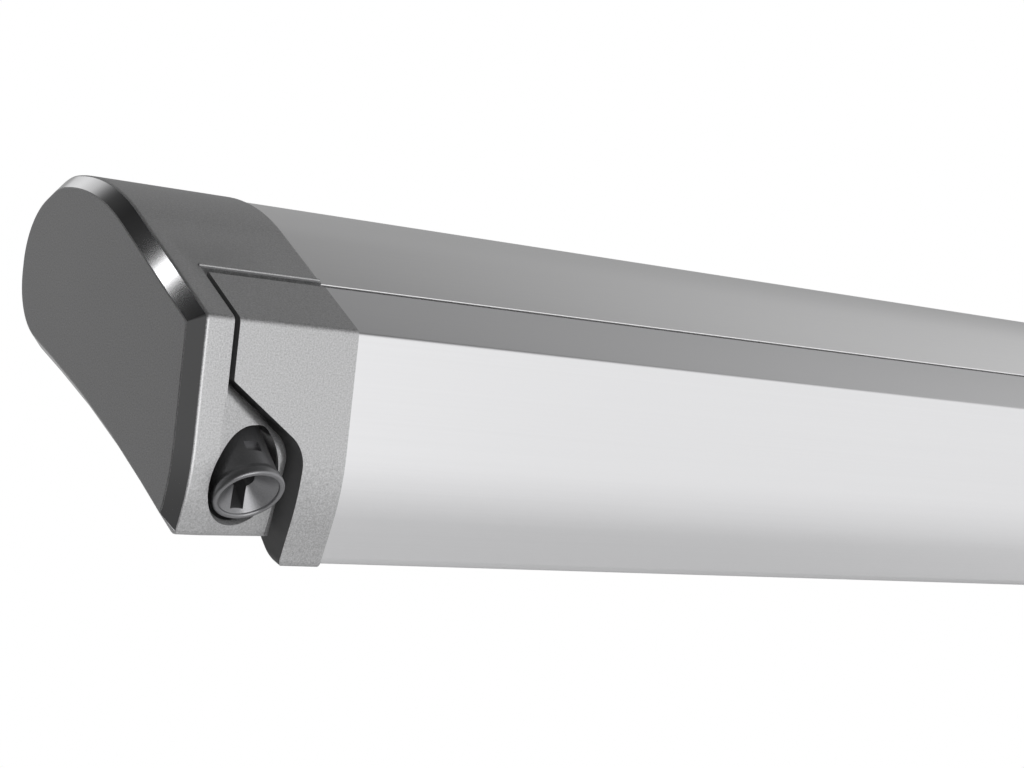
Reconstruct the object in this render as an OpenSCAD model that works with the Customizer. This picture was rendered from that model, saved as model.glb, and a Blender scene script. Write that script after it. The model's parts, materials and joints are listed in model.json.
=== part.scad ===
// Roll out awning for a camper roof: a cassette with a fabric roller, two folding arms,
// a lead rail that travels out with the fabric, and two telescopic legs stowed in that rail.
// X runs along the awning, -Y points to the front and +Z up. The origin is the middle of the
// flat underside that sits on the vehicle. The awning is drawn closed.

/* [Overall] */
// Length over both end caps
total_len = 2600; // [2540:20:3200]
// Angle of the flat underside to the ground
seat_tilt = 24.8; // [23:0.2:26]
// Slope at which the arms and the fabric travel out
pitch = 15; // [13:0.5:17]

/* [Case section] */
// Distance from the origin to the front face
front_y = 102.5; // [100:0.5:108]
// Distance from the origin to the back
rear_y = 108.7; // [105:0.1:116]
// Height of the crease between the front face and the roof
crease_z = 57; // [54:0.5:62]
// Slope of the roof
roof_slope = 30; // [28:0.5:32]
// Height of the crown of the roof
crown_z = 125; // [122:0.5:127]
// Fall of the roof behind the crown
back_slope = 25; // [22:0.5:28]
// Radius of the round back
back_r = 45; // [42:0.5:47]
// Radius of the bend from the roof into the crown
crown_r = 145; // [120:1:150]
// Height at which the front face starts to lean back
bend_z = -22; // [-26:0.5:-18]
// Lean of the lower front face
front_lean = 19.6; // [16:0.2:22]
// Radius of the bend in the front face
front_r = 105; // [60:5:110]
// Wall of the case extrusion
case_wall = 2.4; // [1.8:0.1:3]
// How far the plastic caps stand proud of the extrusions
cap_proud = 1.5; // [0.8:0.1:2.5]
// Roof length between the crease and the seam of the lead rail
seam_run = 47.5; // [44:0.5:52]
// Width of the seam between moving and fixed pieces
seam_gap = 0.8; // [0.6:0.1:1.5]

/* [End caps] */
// Length of an end cap
cap_len = 91.5; // [86:0.5:100]
// Width of the bevel round the end face
cap_bevel = 7.5; // [5:0.5:9]
// Wall of the end caps
cap_wall = 3; // [2.4:0.1:3.6]
// Width of the front strip beside the lead cap
strip_w = 21.5; // [19:0.5:24]
// Width of the crank zone
crank_w = 64.5; // [62:0.5:68]
// Gap between end cap and lead cap
cap_gap = 3; // [2:0.1:4]
// Height of the slanted edge at the front strip
slant_z = 27; // [24:0.5:32]
// Angle of the slanted edge
slant_angle = 34; // [30:1:38]
// Angle at which the face round the crank opening falls back
recess_angle = 10; // [6:1:12]

/* [Crank] */
// Distance of the crank axis from the end face
crank_x = 37.8; // [36:0.2:41]
// Diameter of the crank opening
crank_hole_d = 40; // [38:0.5:41]
// Diameter of the bell mouth
bell_d = 36; // [34:0.2:37]
// Diameter of the bell behind its mouth
bell_neck_d = 32.8; // [31:0.2:34]
// Length of the bell
bell_len = 46; // [42:1:50]
// Diameter of the crank shaft
crank_shaft_d = 10; // [8:0.5:12]

/* [Roller and fabric] */
// Diameter of the roller tube
roller_d = 50; // [46:1:52]
// Wall of the roller tube
roller_wall = 1.8; // [1.4:0.1:2.4]
// Thickness of the fabric wound on the roller
wound_h = 6; // [4:0.5:7]
// Thickness of the fabric run
fabric_t = 1; // [0.8:0.1:1.4]
// Distance from the end of the case to the edge of the fabric
fabric_margin = 35; // [30:1:50]
// Diameter of the roller journals
journal_d = 16; // [14:1:20]

/* [Lead rail] */
// Height of the bottom of the lead rail
lead_bottom_z = -62.5; // [-64:0.5:-60.5]
// Wall of the lead rail
lead_wall = 2.2; // [1.8:0.1:2.4]
// Height of the shelf that carries the wrist brackets
shelf_z = -4; // [-6:0.5:-3]
// Diameter of the keder rod that holds the fabric
keder_d = 8; // [7:0.5:9]

/* [Arms] */
// Distance from the middle to the elbow pivots of the folded arms
elbow_x = 97.4; // [90:0.2:300]
// Step towards the front between one pivot and the next
pivot_step = 30; // [29:0.5:32]
// Distance from the end of the awning to the shoulder pivot
shoulder_inset = 143; // [141:1:155]
// Place of the shoulder pivot towards the front
shoulder_y = -7; // [-8:0.5:-6]
// Height of the shoulder pivot
shoulder_z = 37; // [36:0.5:38]
// Height of the arm tubes
arm_h = 36; // [32:0.5:37]
// Width of the arm tubes
arm_w = 26; // [23:0.5:27]
// Wall of the arm tubes
arm_wall = 2.4; // [1.8:0.1:3]
// Diameter of the pivot pins
pin_d = 12; // [10:0.5:14]

/* [Legs] */
// Distance from the middle to the clamp end of a stowed leg
leg_end_x = 118; // [110:1:300]
// Width of the outer leg tube
leg_w = 15; // [14:0.2:15.4]
// Height of the outer leg tube
leg_h = 22; // [20:0.5:22.5]
// Wall of the leg tubes
leg_wall = 1.5; // [1.2:0.1:1.8]
// Clearance on each side of a leg in its lane
lane_gap = 1.3; // [1.2:0.1:1.6]
// Distance from the end of the awning to the leg hinge
leg_inset = 122; // [118:1:140]
// Diameter of the leg hinge pins
leg_pin_d = 6; // [5:0.5:7]

/* [Fastening] */
// Distance from the end of the awning to the outer threaded inserts
insert_inset = 300; // [240:10:400]
// Place of the inner inserts, as a share of the way from the middle to the outer ones
insert_share = 0.4; // [0.3:0.05:0.6]
// Distance of the inserts behind the origin, along the underside
insert_y = 24; // [18:1:30]
// Core diameter of the inserts' thread
insert_bore_d = 6.8; // [5:0.1:8.5]

/* [Hidden] */
$fn = 48;

// Segments in a rounded corner of a section: large, medium and small corners
function corner_steps(r) = r > 30 ? 10 : r > 3 ? 5 : 2;
// Smallest corner radius left after an outline is moved inwards
least_r = 0.6;
// Clearance of running fits and of pieces that slide past each other
run_gap = 0.3;
// Clearance of pieces that plug into each other
plug_gap = 0.15;
// Longer than any piece
far = 4000;

half_len = total_len / 2;
cap_end_x = half_len - cap_len;
case_lap = 21.5;
case_end_x = cap_end_x + case_lap;
plate_t = 4;
plate_x = case_end_x + plate_t;

// Section corners, counter-clockwise from the front bottom, as [y, z]
belly_rear_slope = seat_tilt - 4.3;
belly_front_slope = seat_tilt + 4.2;
belly_mid = [-6.4, -6.4 * tan(seat_tilt) + 0.6];
crease = [-front_y, crease_z];
bend = [-front_y, bend_z];
roof_top = [-front_y + (crown_z - crease_z) / tan(roof_slope), crown_z];
crest_r = 45;
crest = roof_top + [crown_r * tan(roof_slope / 2) + crest_r * tan(back_slope / 2) + 2, 0];
back_top = [rear_y, crown_z - (rear_y - crest[0]) * tan(back_slope)];
back_low = [rear_y, belly_mid[1] + (rear_y - belly_mid[0]) * tan(belly_rear_slope)];
lean_dir = [sin(front_lean), -cos(front_lean)];
front_low = meet(bend, lean_dir, belly_mid, [cos(belly_front_slope), sin(belly_front_slope)]);
cap_corners = [front_low, belly_mid, back_low, back_top, crest, roof_top, crease, bend];
cap_radii = [4, 840, back_r, back_r, crest_r, crown_r, 4, front_r];

// Centre of the round back, where the roller turns
back_turn = 90 - back_slope;
roller_y = rear_y - back_r;
roller_z = back_top[1] - back_r * tan(back_turn / 2);
roll_r = roller_d / 2 + wound_h;

// Leg lanes in the bottom of the lead rail, side by side behind its front wall
lane_wall = 1.6;
lane_w = leg_w + 2 * lane_gap;
lane_front = -front_y + 18;
lane_rear = lane_front + 2 * lane_w + lane_wall;
lane_mid = lane_rear - lane_w - lane_wall / 2;
lane_rear_c = lane_rear - lane_w / 2;
lane_front_c = lane_front + lane_w / 2;
leg_gap_z = 1.2;
lane_top_z = lead_bottom_z + cap_proud + leg_h + 3;
leg_z = lane_top_z - leg_gap_z - leg_h / 2;

// Lead rail section
lead_rear_y = -lane_rear - cap_proud - lead_wall;
lead_low_y = bend[0] + (bend_z - lead_bottom_z) * tan(front_lean);
roof_dir = [cos(roof_slope), sin(roof_slope)];
seam = crease + roof_dir * seam_run;
lead_top = seam - roof_dir * seam_gap / 2;
lead_corners = [[lead_low_y, lead_bottom_z], [-lead_rear_y, lead_bottom_z],
                [-lead_rear_y, shoulder_z - 7], lead_top, crease, bend];
lead_radii = [7, 2, 2, 1.5, 4, front_r];
lead_cap_rear_y = 66;
lead_cap_top = seam - roof_dir * (cap_gap - seam_gap / 2);
recess_corners = [[lead_low_y, lead_bottom_z], [-lead_cap_rear_y, lead_bottom_z],
                  [-lead_cap_rear_y, lead_top[1] - 18], lead_cap_top, crease, bend];
// The lead cap is cut off at its lower back edge
lead_cap_cut = [16.5, 15];
lead_cap_corners = [[lead_low_y, lead_bottom_z], [-lead_cap_rear_y - lead_cap_cut[0], lead_bottom_z],
                    [-lead_cap_rear_y, lead_bottom_z + lead_cap_cut[1]],
                    [-lead_cap_rear_y, lead_top[1] - 18], lead_cap_top, crease, bend];
lead_cap_radii = [4, 3, 2, 2, 1.5, 4, front_r];

// Keder groove at the back of the lead rail's roof
keder_wall = 2.2;
keder_tube_r = keder_d / 2 + run_gap + keder_wall;
keder_y = -55.5;
keder_z = crease_z;
keder_slot_w = 3;
hem_len = 16;
// Direction of travel of the lead rail, and the way back
travel_dir = [-cos(pitch), -sin(pitch)];
hem_front = [keder_y, keder_z] - travel_dir * (keder_d / 2 + run_gap + 0.8);
hem_rear = hem_front - travel_dir * hem_len;

// Stowed legs
leg_x = half_len - leg_inset;
leg_len = leg_x - leg_end_x;

// Arms, drawn in the sloping plane with the shoulder at [shoulder_x, 0]
shoulder_x = half_len - shoulder_inset;
upper_c = -pivot_step / 2;
fore_c = -pivot_step * 1.5;
pin_r = pin_d / 2;
eye_r = 18;
neck_h = 20;
cheek_t = 6;
tube_start = 46;
tube_elbow = 58;
plug_len = 36;

// Crank axis, 45 degrees down, through the middle of its opening in the front face
crank_angle = 45;
crank_y = -front_y + 2.7;
crank_z = bend_z;
bell_proud = 7.4;
crank_reach = (roller_y - crank_y) * cos(crank_angle) + (roller_z - crank_z) * sin(crank_angle);
gear_r = roll_r + 3;

function unit(v) = v / norm(v);
function left_of(v) = [-v[1], v[0]];
function cross_2d(a, b) = a[0] * b[1] - a[1] * b[0];
function meet(p, u, q, w) = p + u * cross_2d(q - p, w) / cross_2d(u, w);

// Points of an outline whose edges are moved inwards by inset and whose corners are rounded
function rounded(corners, radii, inset = 0) =
  let (n = len(corners))
  let (dir = [for (i = [0:n - 1]) unit(corners[(i + 1) % n] - corners[i])])
  [for (i = [0:n - 1])
    let (u = dir[(i + n - 1) % n])
    let (w = dir[i])
    let (corner = meet(corners[i] + inset * left_of(u), u, corners[i] + inset * left_of(w), w))
    let (turn = atan2(cross_2d(u, w), u * w))
    let (side = sign(turn))
    let (r = max(radii[i] - side * inset, least_r))
    let (c = corner - u * r * tan(abs(turn) / 2) + side * r * left_of(u))
    let (steps = corner_steps(radii[i]))
    for (k = [0:steps])
      let (a = turn * k / steps)
      c - side * r * (left_of(u) * cos(a) - u * sin(a))];

// Extrudes a [y, z] section from x0 to x1
module along_x(x0, x1) {
  translate([x0, 0, 0])
    rotate([90, 0, 90])
      linear_extrude(x1 - x0) children();
}

// Solid skin through sections at the given x places, all with the same number of points.
// Each end is a fan of triangles round the point middle.
module skin(places, sections, middle) {
  n = len(sections[0]);
  m = len(places);
  first = m * n;
  last = first + 1;
  ends = [[places[0], middle[0], middle[1]], [places[m - 1], middle[0], middle[1]]];
  polyhedron(
    points = concat([for (k = [0:m - 1]) for (p = sections[k]) [places[k], p[0], p[1]]], ends),
    faces = concat(
      [for (i = [0:n - 1]) [first, i, (i + 1) % n]],
      [for (i = [0:n - 1]) [last, first - n + (i + 1) % n, first - n + i]],
      [for (k = [0:m - 2]) for (i = [0:n - 1]) [i, i + n, (i + 1) % n + n] + k * n * [1, 1, 1]],
      [for (k = [0:m - 2]) for (i = [0:n - 1]) [i, (i + 1) % n + n, (i + 1) % n] + k * n * [1, 1, 1]]));
}

// Frame of the flat underside: y runs back along it, z points into the case
module seat_frame() {
  rotate([seat_tilt, 0, 0]) children();
}

// Frame of the arms: -y is the way out, z stands square to the sloping plane
module arm_frame() {
  translate([0, shoulder_y, shoulder_z])
    rotate([pitch, 0, 0]) children();
}

// Frame of the crank: z runs up along the crank axis from the front face, on the left
module crank_frame() {
  translate([-half_len + crank_x, crank_y, crank_z])
    rotate([crank_angle - 90, 0, 0]) children();
}

module box(x0, x1, y0, y1, z0, z1) {
  translate([x0, y0, z0]) cube([x1 - x0, y1 - y0, z1 - z0]);
}

module rounded_rect(w, h, r) {
  square([w - 2 * r, h], center = true);
  square([w, h - 2 * r], center = true);
  for (sx = [-1, 1])
    for (sy = [-1, 1])
      translate([sx * (w / 2 - r), sy * (h / 2 - r)]) circle(r);
}

// Half plane above the flat underside, raised by rise
module above_seat(rise) {
  rotate(seat_tilt) translate([-far / 2, rise]) square([far, far]);
}

module cap_section(inset) {
  polygon(rounded(cap_corners, cap_radii, inset));
}

module lead_section(inset) {
  polygon(rounded(lead_corners, lead_radii, inset));
}

// Case section between the front opening and the back
module case_region(inset, rise) {
  intersection() {
    cap_section(inset);
    above_seat(rise);
  }
}

port_r = 5;
port_bore_r = 2.1;
port_reach = roll_r + port_r + 1.2;
port_turn = 54;
port_floor = [54, 5.5];
port_places = [
  [-22, crease_z + 35],
  [roller_y, roller_z] + port_reach * [cos(port_turn), sin(port_turn)],
  [port_floor[0] * cos(seat_tilt) - port_floor[1] * sin(seat_tilt),
   port_floor[0] * sin(seat_tilt) + port_floor[1] * cos(seat_tilt)]
];
lip_y = -lead_rear_y + 3.5;

module case_profile() {
  color("silver")
    difference() {
      along_x(-case_end_x, case_end_x) case_section();
      for (x = insert_places)
        seat_frame() translate([x, insert_y, -1]) cylinder(r = insert_r + plug_gap, h = insert_h + 2);
      lap_steps();
    }
}

// Shallow step under each end, where the cap's lip laps under the flat underside
module lap_steps() {
  run = case_end_x - cap_end_x;
  for (side = [-1, 1])
    seat_frame()
      translate([side * (cap_end_x + run / 2), 0, 0])
        cube([run + 2 * lap_step, 4 * rear_y, 2 * lap_step], center = true);
}

module case_section() {
  inner = cap_proud + case_wall;
  difference() {
    union() {
      difference() {
        case_region(cap_proud, 0);
        case_region(inner, case_wall);
      }
      intersection() {
        case_region(cap_proud + 0.5, 0.5);
        for (p = port_places) translate(p) circle(port_r);
      }
      port_webs();
    }
    for (p = port_places) translate(p) circle(port_bore_r);
    front_opening();
  }
}

// Webs that tie the screw ports to the wall
module port_webs() {
  web = 3;
  intersection() {
    case_region(cap_proud + 0.5, 0.5);
    union() {
      translate(port_places[0] - [web / 2, 0]) square([web, 40]);
      translate(port_places[1]) rotate(45) translate([0, -web / 2]) square([40, web]);
      translate(port_places[2]) rotate(seat_tilt - 90) translate([0, -web / 2]) square([40, web]);
    }
  }
}

// What the lead rail takes away from the front of the case
module front_opening() {
  roof_cut = seam + roof_dir * seam_gap / 2;
  polygon([[-far, -far], [lip_y, -far], [lip_y, shelf_z + 20], roof_cut - left_of(roof_dir) * 30,
           roof_cut + left_of(roof_dir) * 30, [-far, far]]);
}

seal_t = 1.6;
lap_step = 0.4;
glue_gap = 0.05;
seal_w = 9;
module roof_seal() {
  seal_front = seam + roof_dir * (seam_gap / 2 + 1);
  color("dimgray")
    along_x(-case_end_x, case_end_x)
      translate(seal_front)
        rotate(roof_slope)
          translate([0, -cap_proud - case_wall - glue_gap - seal_t]) square([seal_w, seal_t]);
}

// Edge of the lead cap seen along its way out, as [x from the end face, height]
slant_w = front_y * sin(pitch) + slant_z * cos(pitch);
slant_r = 18;
sweep_low = -2 * front_y;
sweep_high = 2 * crown_z;
function slant_height(x, drop) =
  slant_w - drop / cos(slant_angle) - (x - strip_w - cap_gap) * tan(slant_angle);

module lead_sweep(inset) {
  x0 = strip_w + cap_gap;
  x1 = crank_w + cap_gap;
  x2 = cap_len + 40;
  corners = [[x1, sweep_low], [x2, sweep_low], [x2, sweep_high], [x0, sweep_high],
             [x0, slant_height(x0, 0)], [x1, slant_height(x1, 0)]];
  sweep_out(rounded(corners, [0, 0, 0, 0, 2, slant_r], inset));
}

// Block round the crank opening, below the slanted edge
module crank_sweep(inset) {
  x0 = strip_w - 30;
  sweep_out(rounded([[x0, sweep_low], [crank_w, sweep_low], [crank_w, slant_height(crank_w, cap_gap)],
                     [x0, slant_height(x0, cap_gap)]], [0, 0, slant_r - cap_gap, 0], inset));
}

// Extrudes an [x, height] outline along the way out of the lead rail
module sweep_out(outline) {
  translate([-half_len, 0, 0])
    rotate([pitch + 90, 0, 0])
      linear_extrude(5 * front_y, center = true) polygon(outline);
}

module lead_cap_section(inset) {
  polygon(rounded(lead_cap_corners, lead_cap_radii, inset));
}

// Recess of the end cap round the lead cap
module recess_section(gap) {
  polygon(rounded(recess_corners, lead_radii, -gap));
}

// Front part of the cap section, turned so that its face falls back from the front strip
module crank_front(inset, rear) {
  translate([-half_len + strip_w, -front_y, 0])
    rotate([0, 0, recess_angle])
      translate([0, front_y, 0])
        along_x(-40, crank_w)
          intersection() {
            cap_section(inset);
            translate([-far - lead_cap_rear_y + rear, -far / 2]) square([far, far]);
          }
}

module crank_block() {
  intersection() {
    crank_front(0, cap_gap + cap_wall);
    crank_sweep(0);
    box(-half_len + strip_w, -half_len + crank_w, -far, far, -far, far);
  }
}

module crank_block_hollow() {
  intersection() {
    crank_front(cap_wall, cap_gap + 20);
    crank_sweep(cap_wall);
    box(-half_len + cap_bevel + cap_wall, -half_len + crank_w - cap_wall, -far, far, -far, far);
  }
}

// Sleeve of the end cap behind the lead cap, with the back wall of the lead cap's recess
module sleeve_section() {
  difference() {
    union() {
      difference() {
        cap_section(0);
        children();
      }
      intersection() {
        cap_section(0);
        recess_section(cap_gap + cap_wall);
      }
    }
    recess_section(cap_gap);
  }
}

module end_cap_shell() {
  bevel_x = -half_len + cap_bevel;
  wall_x = bevel_x + cap_wall;
  strip_x = -half_len + strip_w;
  outer = rounded(cap_corners, cap_radii, 0);
  difference() {
    union() {
      skin([-half_len, bevel_x, wall_x], [rounded(cap_corners, cap_radii, cap_bevel), outer, outer],
           [0, crease_z]);
      along_x(wall_x, strip_x)
        difference() {
          polygon(outer);
          cap_section(cap_wall);
        }
      along_x(strip_x, -case_end_x) sleeve_section() cap_section(cap_wall);
      along_x(-case_end_x, -cap_end_x)
        sleeve_section() case_region(cap_proud - plug_gap, -plug_gap);
      crank_block();
      seam_bead();
    }
    crank_block_hollow();
    along_x(-case_end_x - plug_gap, -cap_end_x + 1) roof_edge_room();
  }
}

// Bead along the edge of the lead cap's recess in the roof
bead_r = 1;
bead_sink = 0.35;
module seam_bead() {
  along_x(-half_len + strip_w + 0.2, -cap_end_x - 0.6)
    translate(seam + roof_dir * (seam_gap / 2 + bead_r - 0.1) - left_of(roof_dir) * bead_sink)
      circle(bead_r);
}

// Room for the front edge of the case's roof behind the lead cap's recess
module roof_edge_room() {
  translate(seam)
    rotate(roof_slope)
      translate([seam_gap / 2 - plug_gap, -cap_proud - case_wall - plug_gap])
        square([3 * cap_wall, case_wall + plug_gap]);
}

module left_end_cap() {
  color("gray")
    difference() {
      end_cap_shell();
      crank_frame() {
        translate([0, 0, -1.3 * bell_len]) cylinder(d = crank_hole_d, h = 2.2 * bell_len);
        cylinder(d = crank_shaft_d + 2, h = crank_reach / 2);
      }
    }
}

module right_end_cap() {
  color("gray") mirror([1, 0, 0]) end_cap_shell();
}

// Metal plate that closes an end of the case and carries the roller
plate_front_y = lip_y + 1;
module side_plate() {
  difference() {
    along_x(-plate_x, -case_end_x)
      intersection() {
        case_region(cap_wall + plug_gap, plug_gap);
        translate([plate_front_y, -far / 2]) square([far, far]);
      }
    along_x(-plate_x - 1, -case_end_x + 1) {
      translate([roller_y, roller_z]) circle(d = journal_d + 6);
      for (p = port_places) translate(p) circle(port_bore_r);
    }
  }
}

module left_side_plate() {
  color("slategray") side_plate();
}

module right_side_plate() {
  color("slategray") mirror([1, 0, 0]) side_plate();
}

screw_head_h = 2.4;
module plate_screws() {
  color("gainsboro")
    for (end = [0, 1])
      mirror([end, 0, 0]) {
        along_x(-plate_x - screw_head_h, -plate_x)
          for (p = port_places) translate(p) circle(port_bore_r * 1.9);
        along_x(-plate_x, -case_end_x + 18)
          for (p = port_places) translate(p) circle(port_bore_r - 0.05);
      }
}

// Threaded inserts in the underside
insert_r = 5.5;
insert_h = 13;
insert_far_x = half_len - insert_inset;
insert_near_x = insert_far_x * insert_share;
insert_places = [-insert_far_x, -insert_near_x, insert_near_x, insert_far_x];
module mount_inserts() {
  color("gainsboro")
    for (x = insert_places)
      seat_frame()
        translate([x, insert_y, 0])
          difference() {
            union() {
              cylinder(r = insert_r, h = insert_h);
              translate([0, 0, case_wall]) cylinder(r = insert_r + 1.4, h = 2);
            }
            translate([0, 0, -1]) cylinder(d = insert_bore_d, h = insert_h + 2);
          }
}

// Gearbox on the left side plate, on the roller axis and the crank axis
gear_x0 = -half_len + cap_bevel + cap_wall + 6;
gear_split = gear_x0 + 10;
worm_r = 10;
gear_foot = crank_reach - 52;
module gear_outline() {
  hull() {
    translate([roller_y, roller_z]) circle(gear_r - 4);
    translate([crank_y, crank_z] + crank_reach * [cos(crank_angle), sin(crank_angle)])
      circle(worm_r);
  }
}

module gearbox_body() {
  color("dimgray")
    difference() {
      union() {
        along_x(gear_split, -plate_x) gear_outline();
        crank_frame() translate([0, 0, gear_foot]) cylinder(r = worm_r, h = 50);
      }
      along_x(gear_split - 1, -plate_x + 1)
        translate([roller_y, roller_z]) circle(d = journal_d + 2 * run_gap);
      crank_frame()
        translate([0, 0, gear_foot - 1]) cylinder(d = crank_shaft_d + 2 * run_gap, h = 50);
      box(gear_x0 - 30, gear_split, -far, far, -far, far);
    }
}

module gearbox_cover() {
  color("gray")
    along_x(gear_x0, gear_split) gear_outline();
}

module crank_shaft() {
  color("gainsboro")
    crank_frame()
      translate([0, 0, bell_len - bell_proud - 12])
        cylinder(d = crank_shaft_d, h = gear_foot + 36 - bell_len + bell_proud + 12);
}

// Bell that takes the hook of the winding crank
bell_rim = 3;
bell_slot_w = 7;
bell_floor_r = 5;
bell_bore_r = 5.5;
bell_funnel = 10.5;
module crank_bell() {
  mouth_r = bell_d / 2;
  neck_r = bell_neck_d / 2;
  color("dimgray")
    crank_frame()
      translate([0, 0, -bell_proud])
        difference() {
          rotate_extrude()
            polygon([[0, bell_funnel], [bell_floor_r, bell_funnel], [mouth_r - bell_rim, 1],
                     [mouth_r - 2.4, 0.3], [mouth_r - 1.5, 0], [mouth_r - 0.6, 0.3], [mouth_r, 1.4],
                     [mouth_r, 3], [mouth_r - 0.7, 5], [neck_r + 0.3, 8], [neck_r, 11],
                     [neck_r - 1.2, bell_len * 0.8], [neck_r - 6, bell_len], [0, bell_len]]);
          translate([0, 0, bell_len - 12]) cylinder(d = crank_shaft_d + 0.1, h = 13);
          translate([0, 0, -1]) cylinder(r = bell_bore_r, h = bell_len * 0.62);
          translate([-bell_slot_w / 2, 0, -1])
            cube([bell_slot_w, mouth_r - 5, bell_len * 0.55]);
          for (a = [0, 180, 270])
            rotate(a) translate([neck_r - 3, -4, bell_len / 3]) cube([10, 8, 6]);
        }
}

// Roller with its plugs
roller_end_x = case_end_x - 12;
module roller_tube() {
  color("silver")
    along_x(-roller_end_x, roller_end_x)
      translate([roller_y, roller_z])
        difference() {
          circle(d = roller_d);
          circle(d = roller_d - 2 * roller_wall);
        }
}

module roller_plug(journal_end) {
  flange_t = 3;
  plug_r = roller_d / 2 - roller_wall - plug_gap;
  translate([0, roller_y, roller_z])
    rotate([0, -90, 0]) {
      translate([0, 0, roller_end_x - 40]) cylinder(r = plug_r, h = 40);
      translate([0, 0, roller_end_x]) cylinder(d = roller_d, h = flange_t);
      translate([0, 0, roller_end_x]) cylinder(d = journal_d, h = journal_end - roller_end_x);
    }
}

module drive_plug() {
  color("darkslategray") roller_plug(-gear_split - 3);
}

idler_end_x = plate_x + 14;
module idler_plug() {
  color("darkslategray") mirror([1, 0, 0]) roller_plug(idler_end_x);
}

module idler_bush() {
  color("whitesmoke")
    translate([case_end_x - 3, roller_y, roller_z])
      rotate([0, 90, 0])
        difference() {
          union() {
            cylinder(d = journal_d + 6 - 2 * plug_gap, h = plate_t + 3 + 5);
            translate([0, 0, plate_t + 3]) cylinder(d = journal_d + 14, h = 5);
          }
          translate([0, 0, -1]) cylinder(d = journal_d + 0.16, h = 20);
        }
}

// Fabric wound on the roller, its run to the lead rail, and the hem
fabric_x = case_end_x - fabric_margin;
module fabric_roll() {
  color("darkgray")
    along_x(-fabric_x, fabric_x)
      translate([roller_y, roller_z])
        difference() {
          circle(roll_r);
          circle(d = roller_d + 0.1);
        }
}

roll_away = [roller_y, roller_z] - hem_rear;
run_angle = atan2(roll_away[1], roll_away[0]) + asin((roll_r + fabric_t + run_gap) / norm(roll_away));
run_len = sqrt(pow(norm(roll_away), 2) - pow(roll_r + fabric_t + run_gap, 2));
module fabric_run() {
  color("lightgray")
    along_x(-fabric_x, fabric_x)
      translate(hem_rear)
        rotate(run_angle)
          translate([0.4, -fabric_t]) square([run_len - 0.4, fabric_t]);
}

module fabric_hem() {
  color("lightgray")
    along_x(-fabric_x, fabric_x)
      translate(hem_front)
        rotate(pitch)
          translate([0, -fabric_t / 2]) square([hem_len, fabric_t]);
}

// Lead rail: skin, shelf for the arms, leg lanes and keder groove
module lead_rail() {
  color("silver")
    along_x(-cap_end_x, cap_end_x) lead_rail_section();
}

module lead_rail_section() {
  inner = cap_proud + lead_wall;
  front = -2 * front_y;
  difference() {
    union() {
      difference() {
        lead_section(cap_proud);
        lead_section(inner);
        translate([keder_y - 8, shelf_z]) square([80, lead_top[1] - shelf_z - 14]);
      }
      intersection() {
        lead_section(cap_proud);
        union() {
          translate([front, shelf_z - lead_wall]) square([2 * front_y, lead_wall]);
          translate([front, lane_top_z]) square([2 * front_y, lead_wall]);
          translate([lane_mid - lane_wall / 2, lead_bottom_z])
            square([lane_wall, lane_top_z - lead_bottom_z + 1]);
        }
      }
      keder_bracket();
    }
    lane_slots();
    translate([keder_y, keder_z]) circle(keder_d / 2 + run_gap);
    translate([keder_y, keder_z])
      rotate(pitch) translate([0, -keder_slot_w / 2]) square([20, keder_slot_w]);
  }
}

// Tube for the keder rod, hung from the roof of the lead rail
module keder_bracket() {
  inset = cap_proud + lead_wall / 2;
  foot = lead_top - (left_of(roof_dir) + roof_dir) * inset;
  reach = [keder_y, keder_z] - foot;
  translate([keder_y, keder_z]) circle(keder_tube_r);
  translate(foot)
    rotate(atan2(reach[1], reach[0]))
      translate([0, -lead_wall / 2]) square([norm(reach), lead_wall]);
}

// Lanes for the legs, open at the bottom
module lane_slots() {
  for (c = [lane_front_c, lane_rear_c])
    translate([c - lane_w / 2, lead_bottom_z - 5]) square([lane_w, lane_top_z - lead_bottom_z + 5]);
}

module keder_rod() {
  color("whitesmoke")
    along_x(-fabric_x, fabric_x)
      translate([keder_y, keder_z]) circle(d = keder_d);
}

// Lead cap with a tongue that goes into the rail
lead_plug_len = 22;
module lead_cap() {
  x0 = -half_len + strip_w + cap_gap;
  plug_inset = cap_proud + lead_wall + plug_gap;
  difference() {
    intersection() {
      along_x(x0, -cap_end_x) lead_cap_section(0);
      lead_sweep(0);
    }
    intersection() {
      along_x(x0 + cap_wall, -cap_end_x + 1) lead_cap_section(cap_wall);
      lead_sweep(cap_wall);
    }
  }
  box(-cap_end_x - 12, -cap_end_x + lead_plug_len, -front_y + plug_inset, -front_y + plug_inset + cap_wall,
      shelf_z + 1, crease_z - 6);
  box(-cap_end_x - 12, -cap_end_x - 1, -front_y + cap_wall / 2, -front_y + plug_inset + cap_wall,
      shelf_z + 1, crease_z - 6);
}

module left_lead_cap() {
  color("gray") lead_cap();
}

module right_lead_cap() {
  color("gray") mirror([1, 0, 0]) lead_cap();
}

// Arm pieces, drawn for the left arm in the arm frame with x measured from the middle
module flat_link(p, r, w0, w1, end_x, h) {
  linear_extrude(h, center = true)
    hull() {
      translate(p) circle(r);
      translate([end_x - 0.5, w0]) square([1, w1 - w0]);
    }
}

module arm_tube(x0, x1, y) {
  translate([0, y, 0])
    along_x(x0, x1)
      difference() {
        rounded_rect(arm_w, arm_h, 4);
        rounded_rect(arm_w - 2 * arm_wall, arm_h - 2 * arm_wall, 2);
      }
}

module tube_plug(x0, x1, y) {
  translate([0, y, 0])
    along_x(x0, x1)
      rounded_rect(arm_w - 2 * arm_wall - 2 * plug_gap, arm_h - 2 * arm_wall - 2 * plug_gap, 2);
}

module tube_shoulder(x0, x1, y) {
  translate([0, y, 0]) along_x(x0, x1) rounded_rect(arm_w, arm_h, 4);
}

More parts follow.
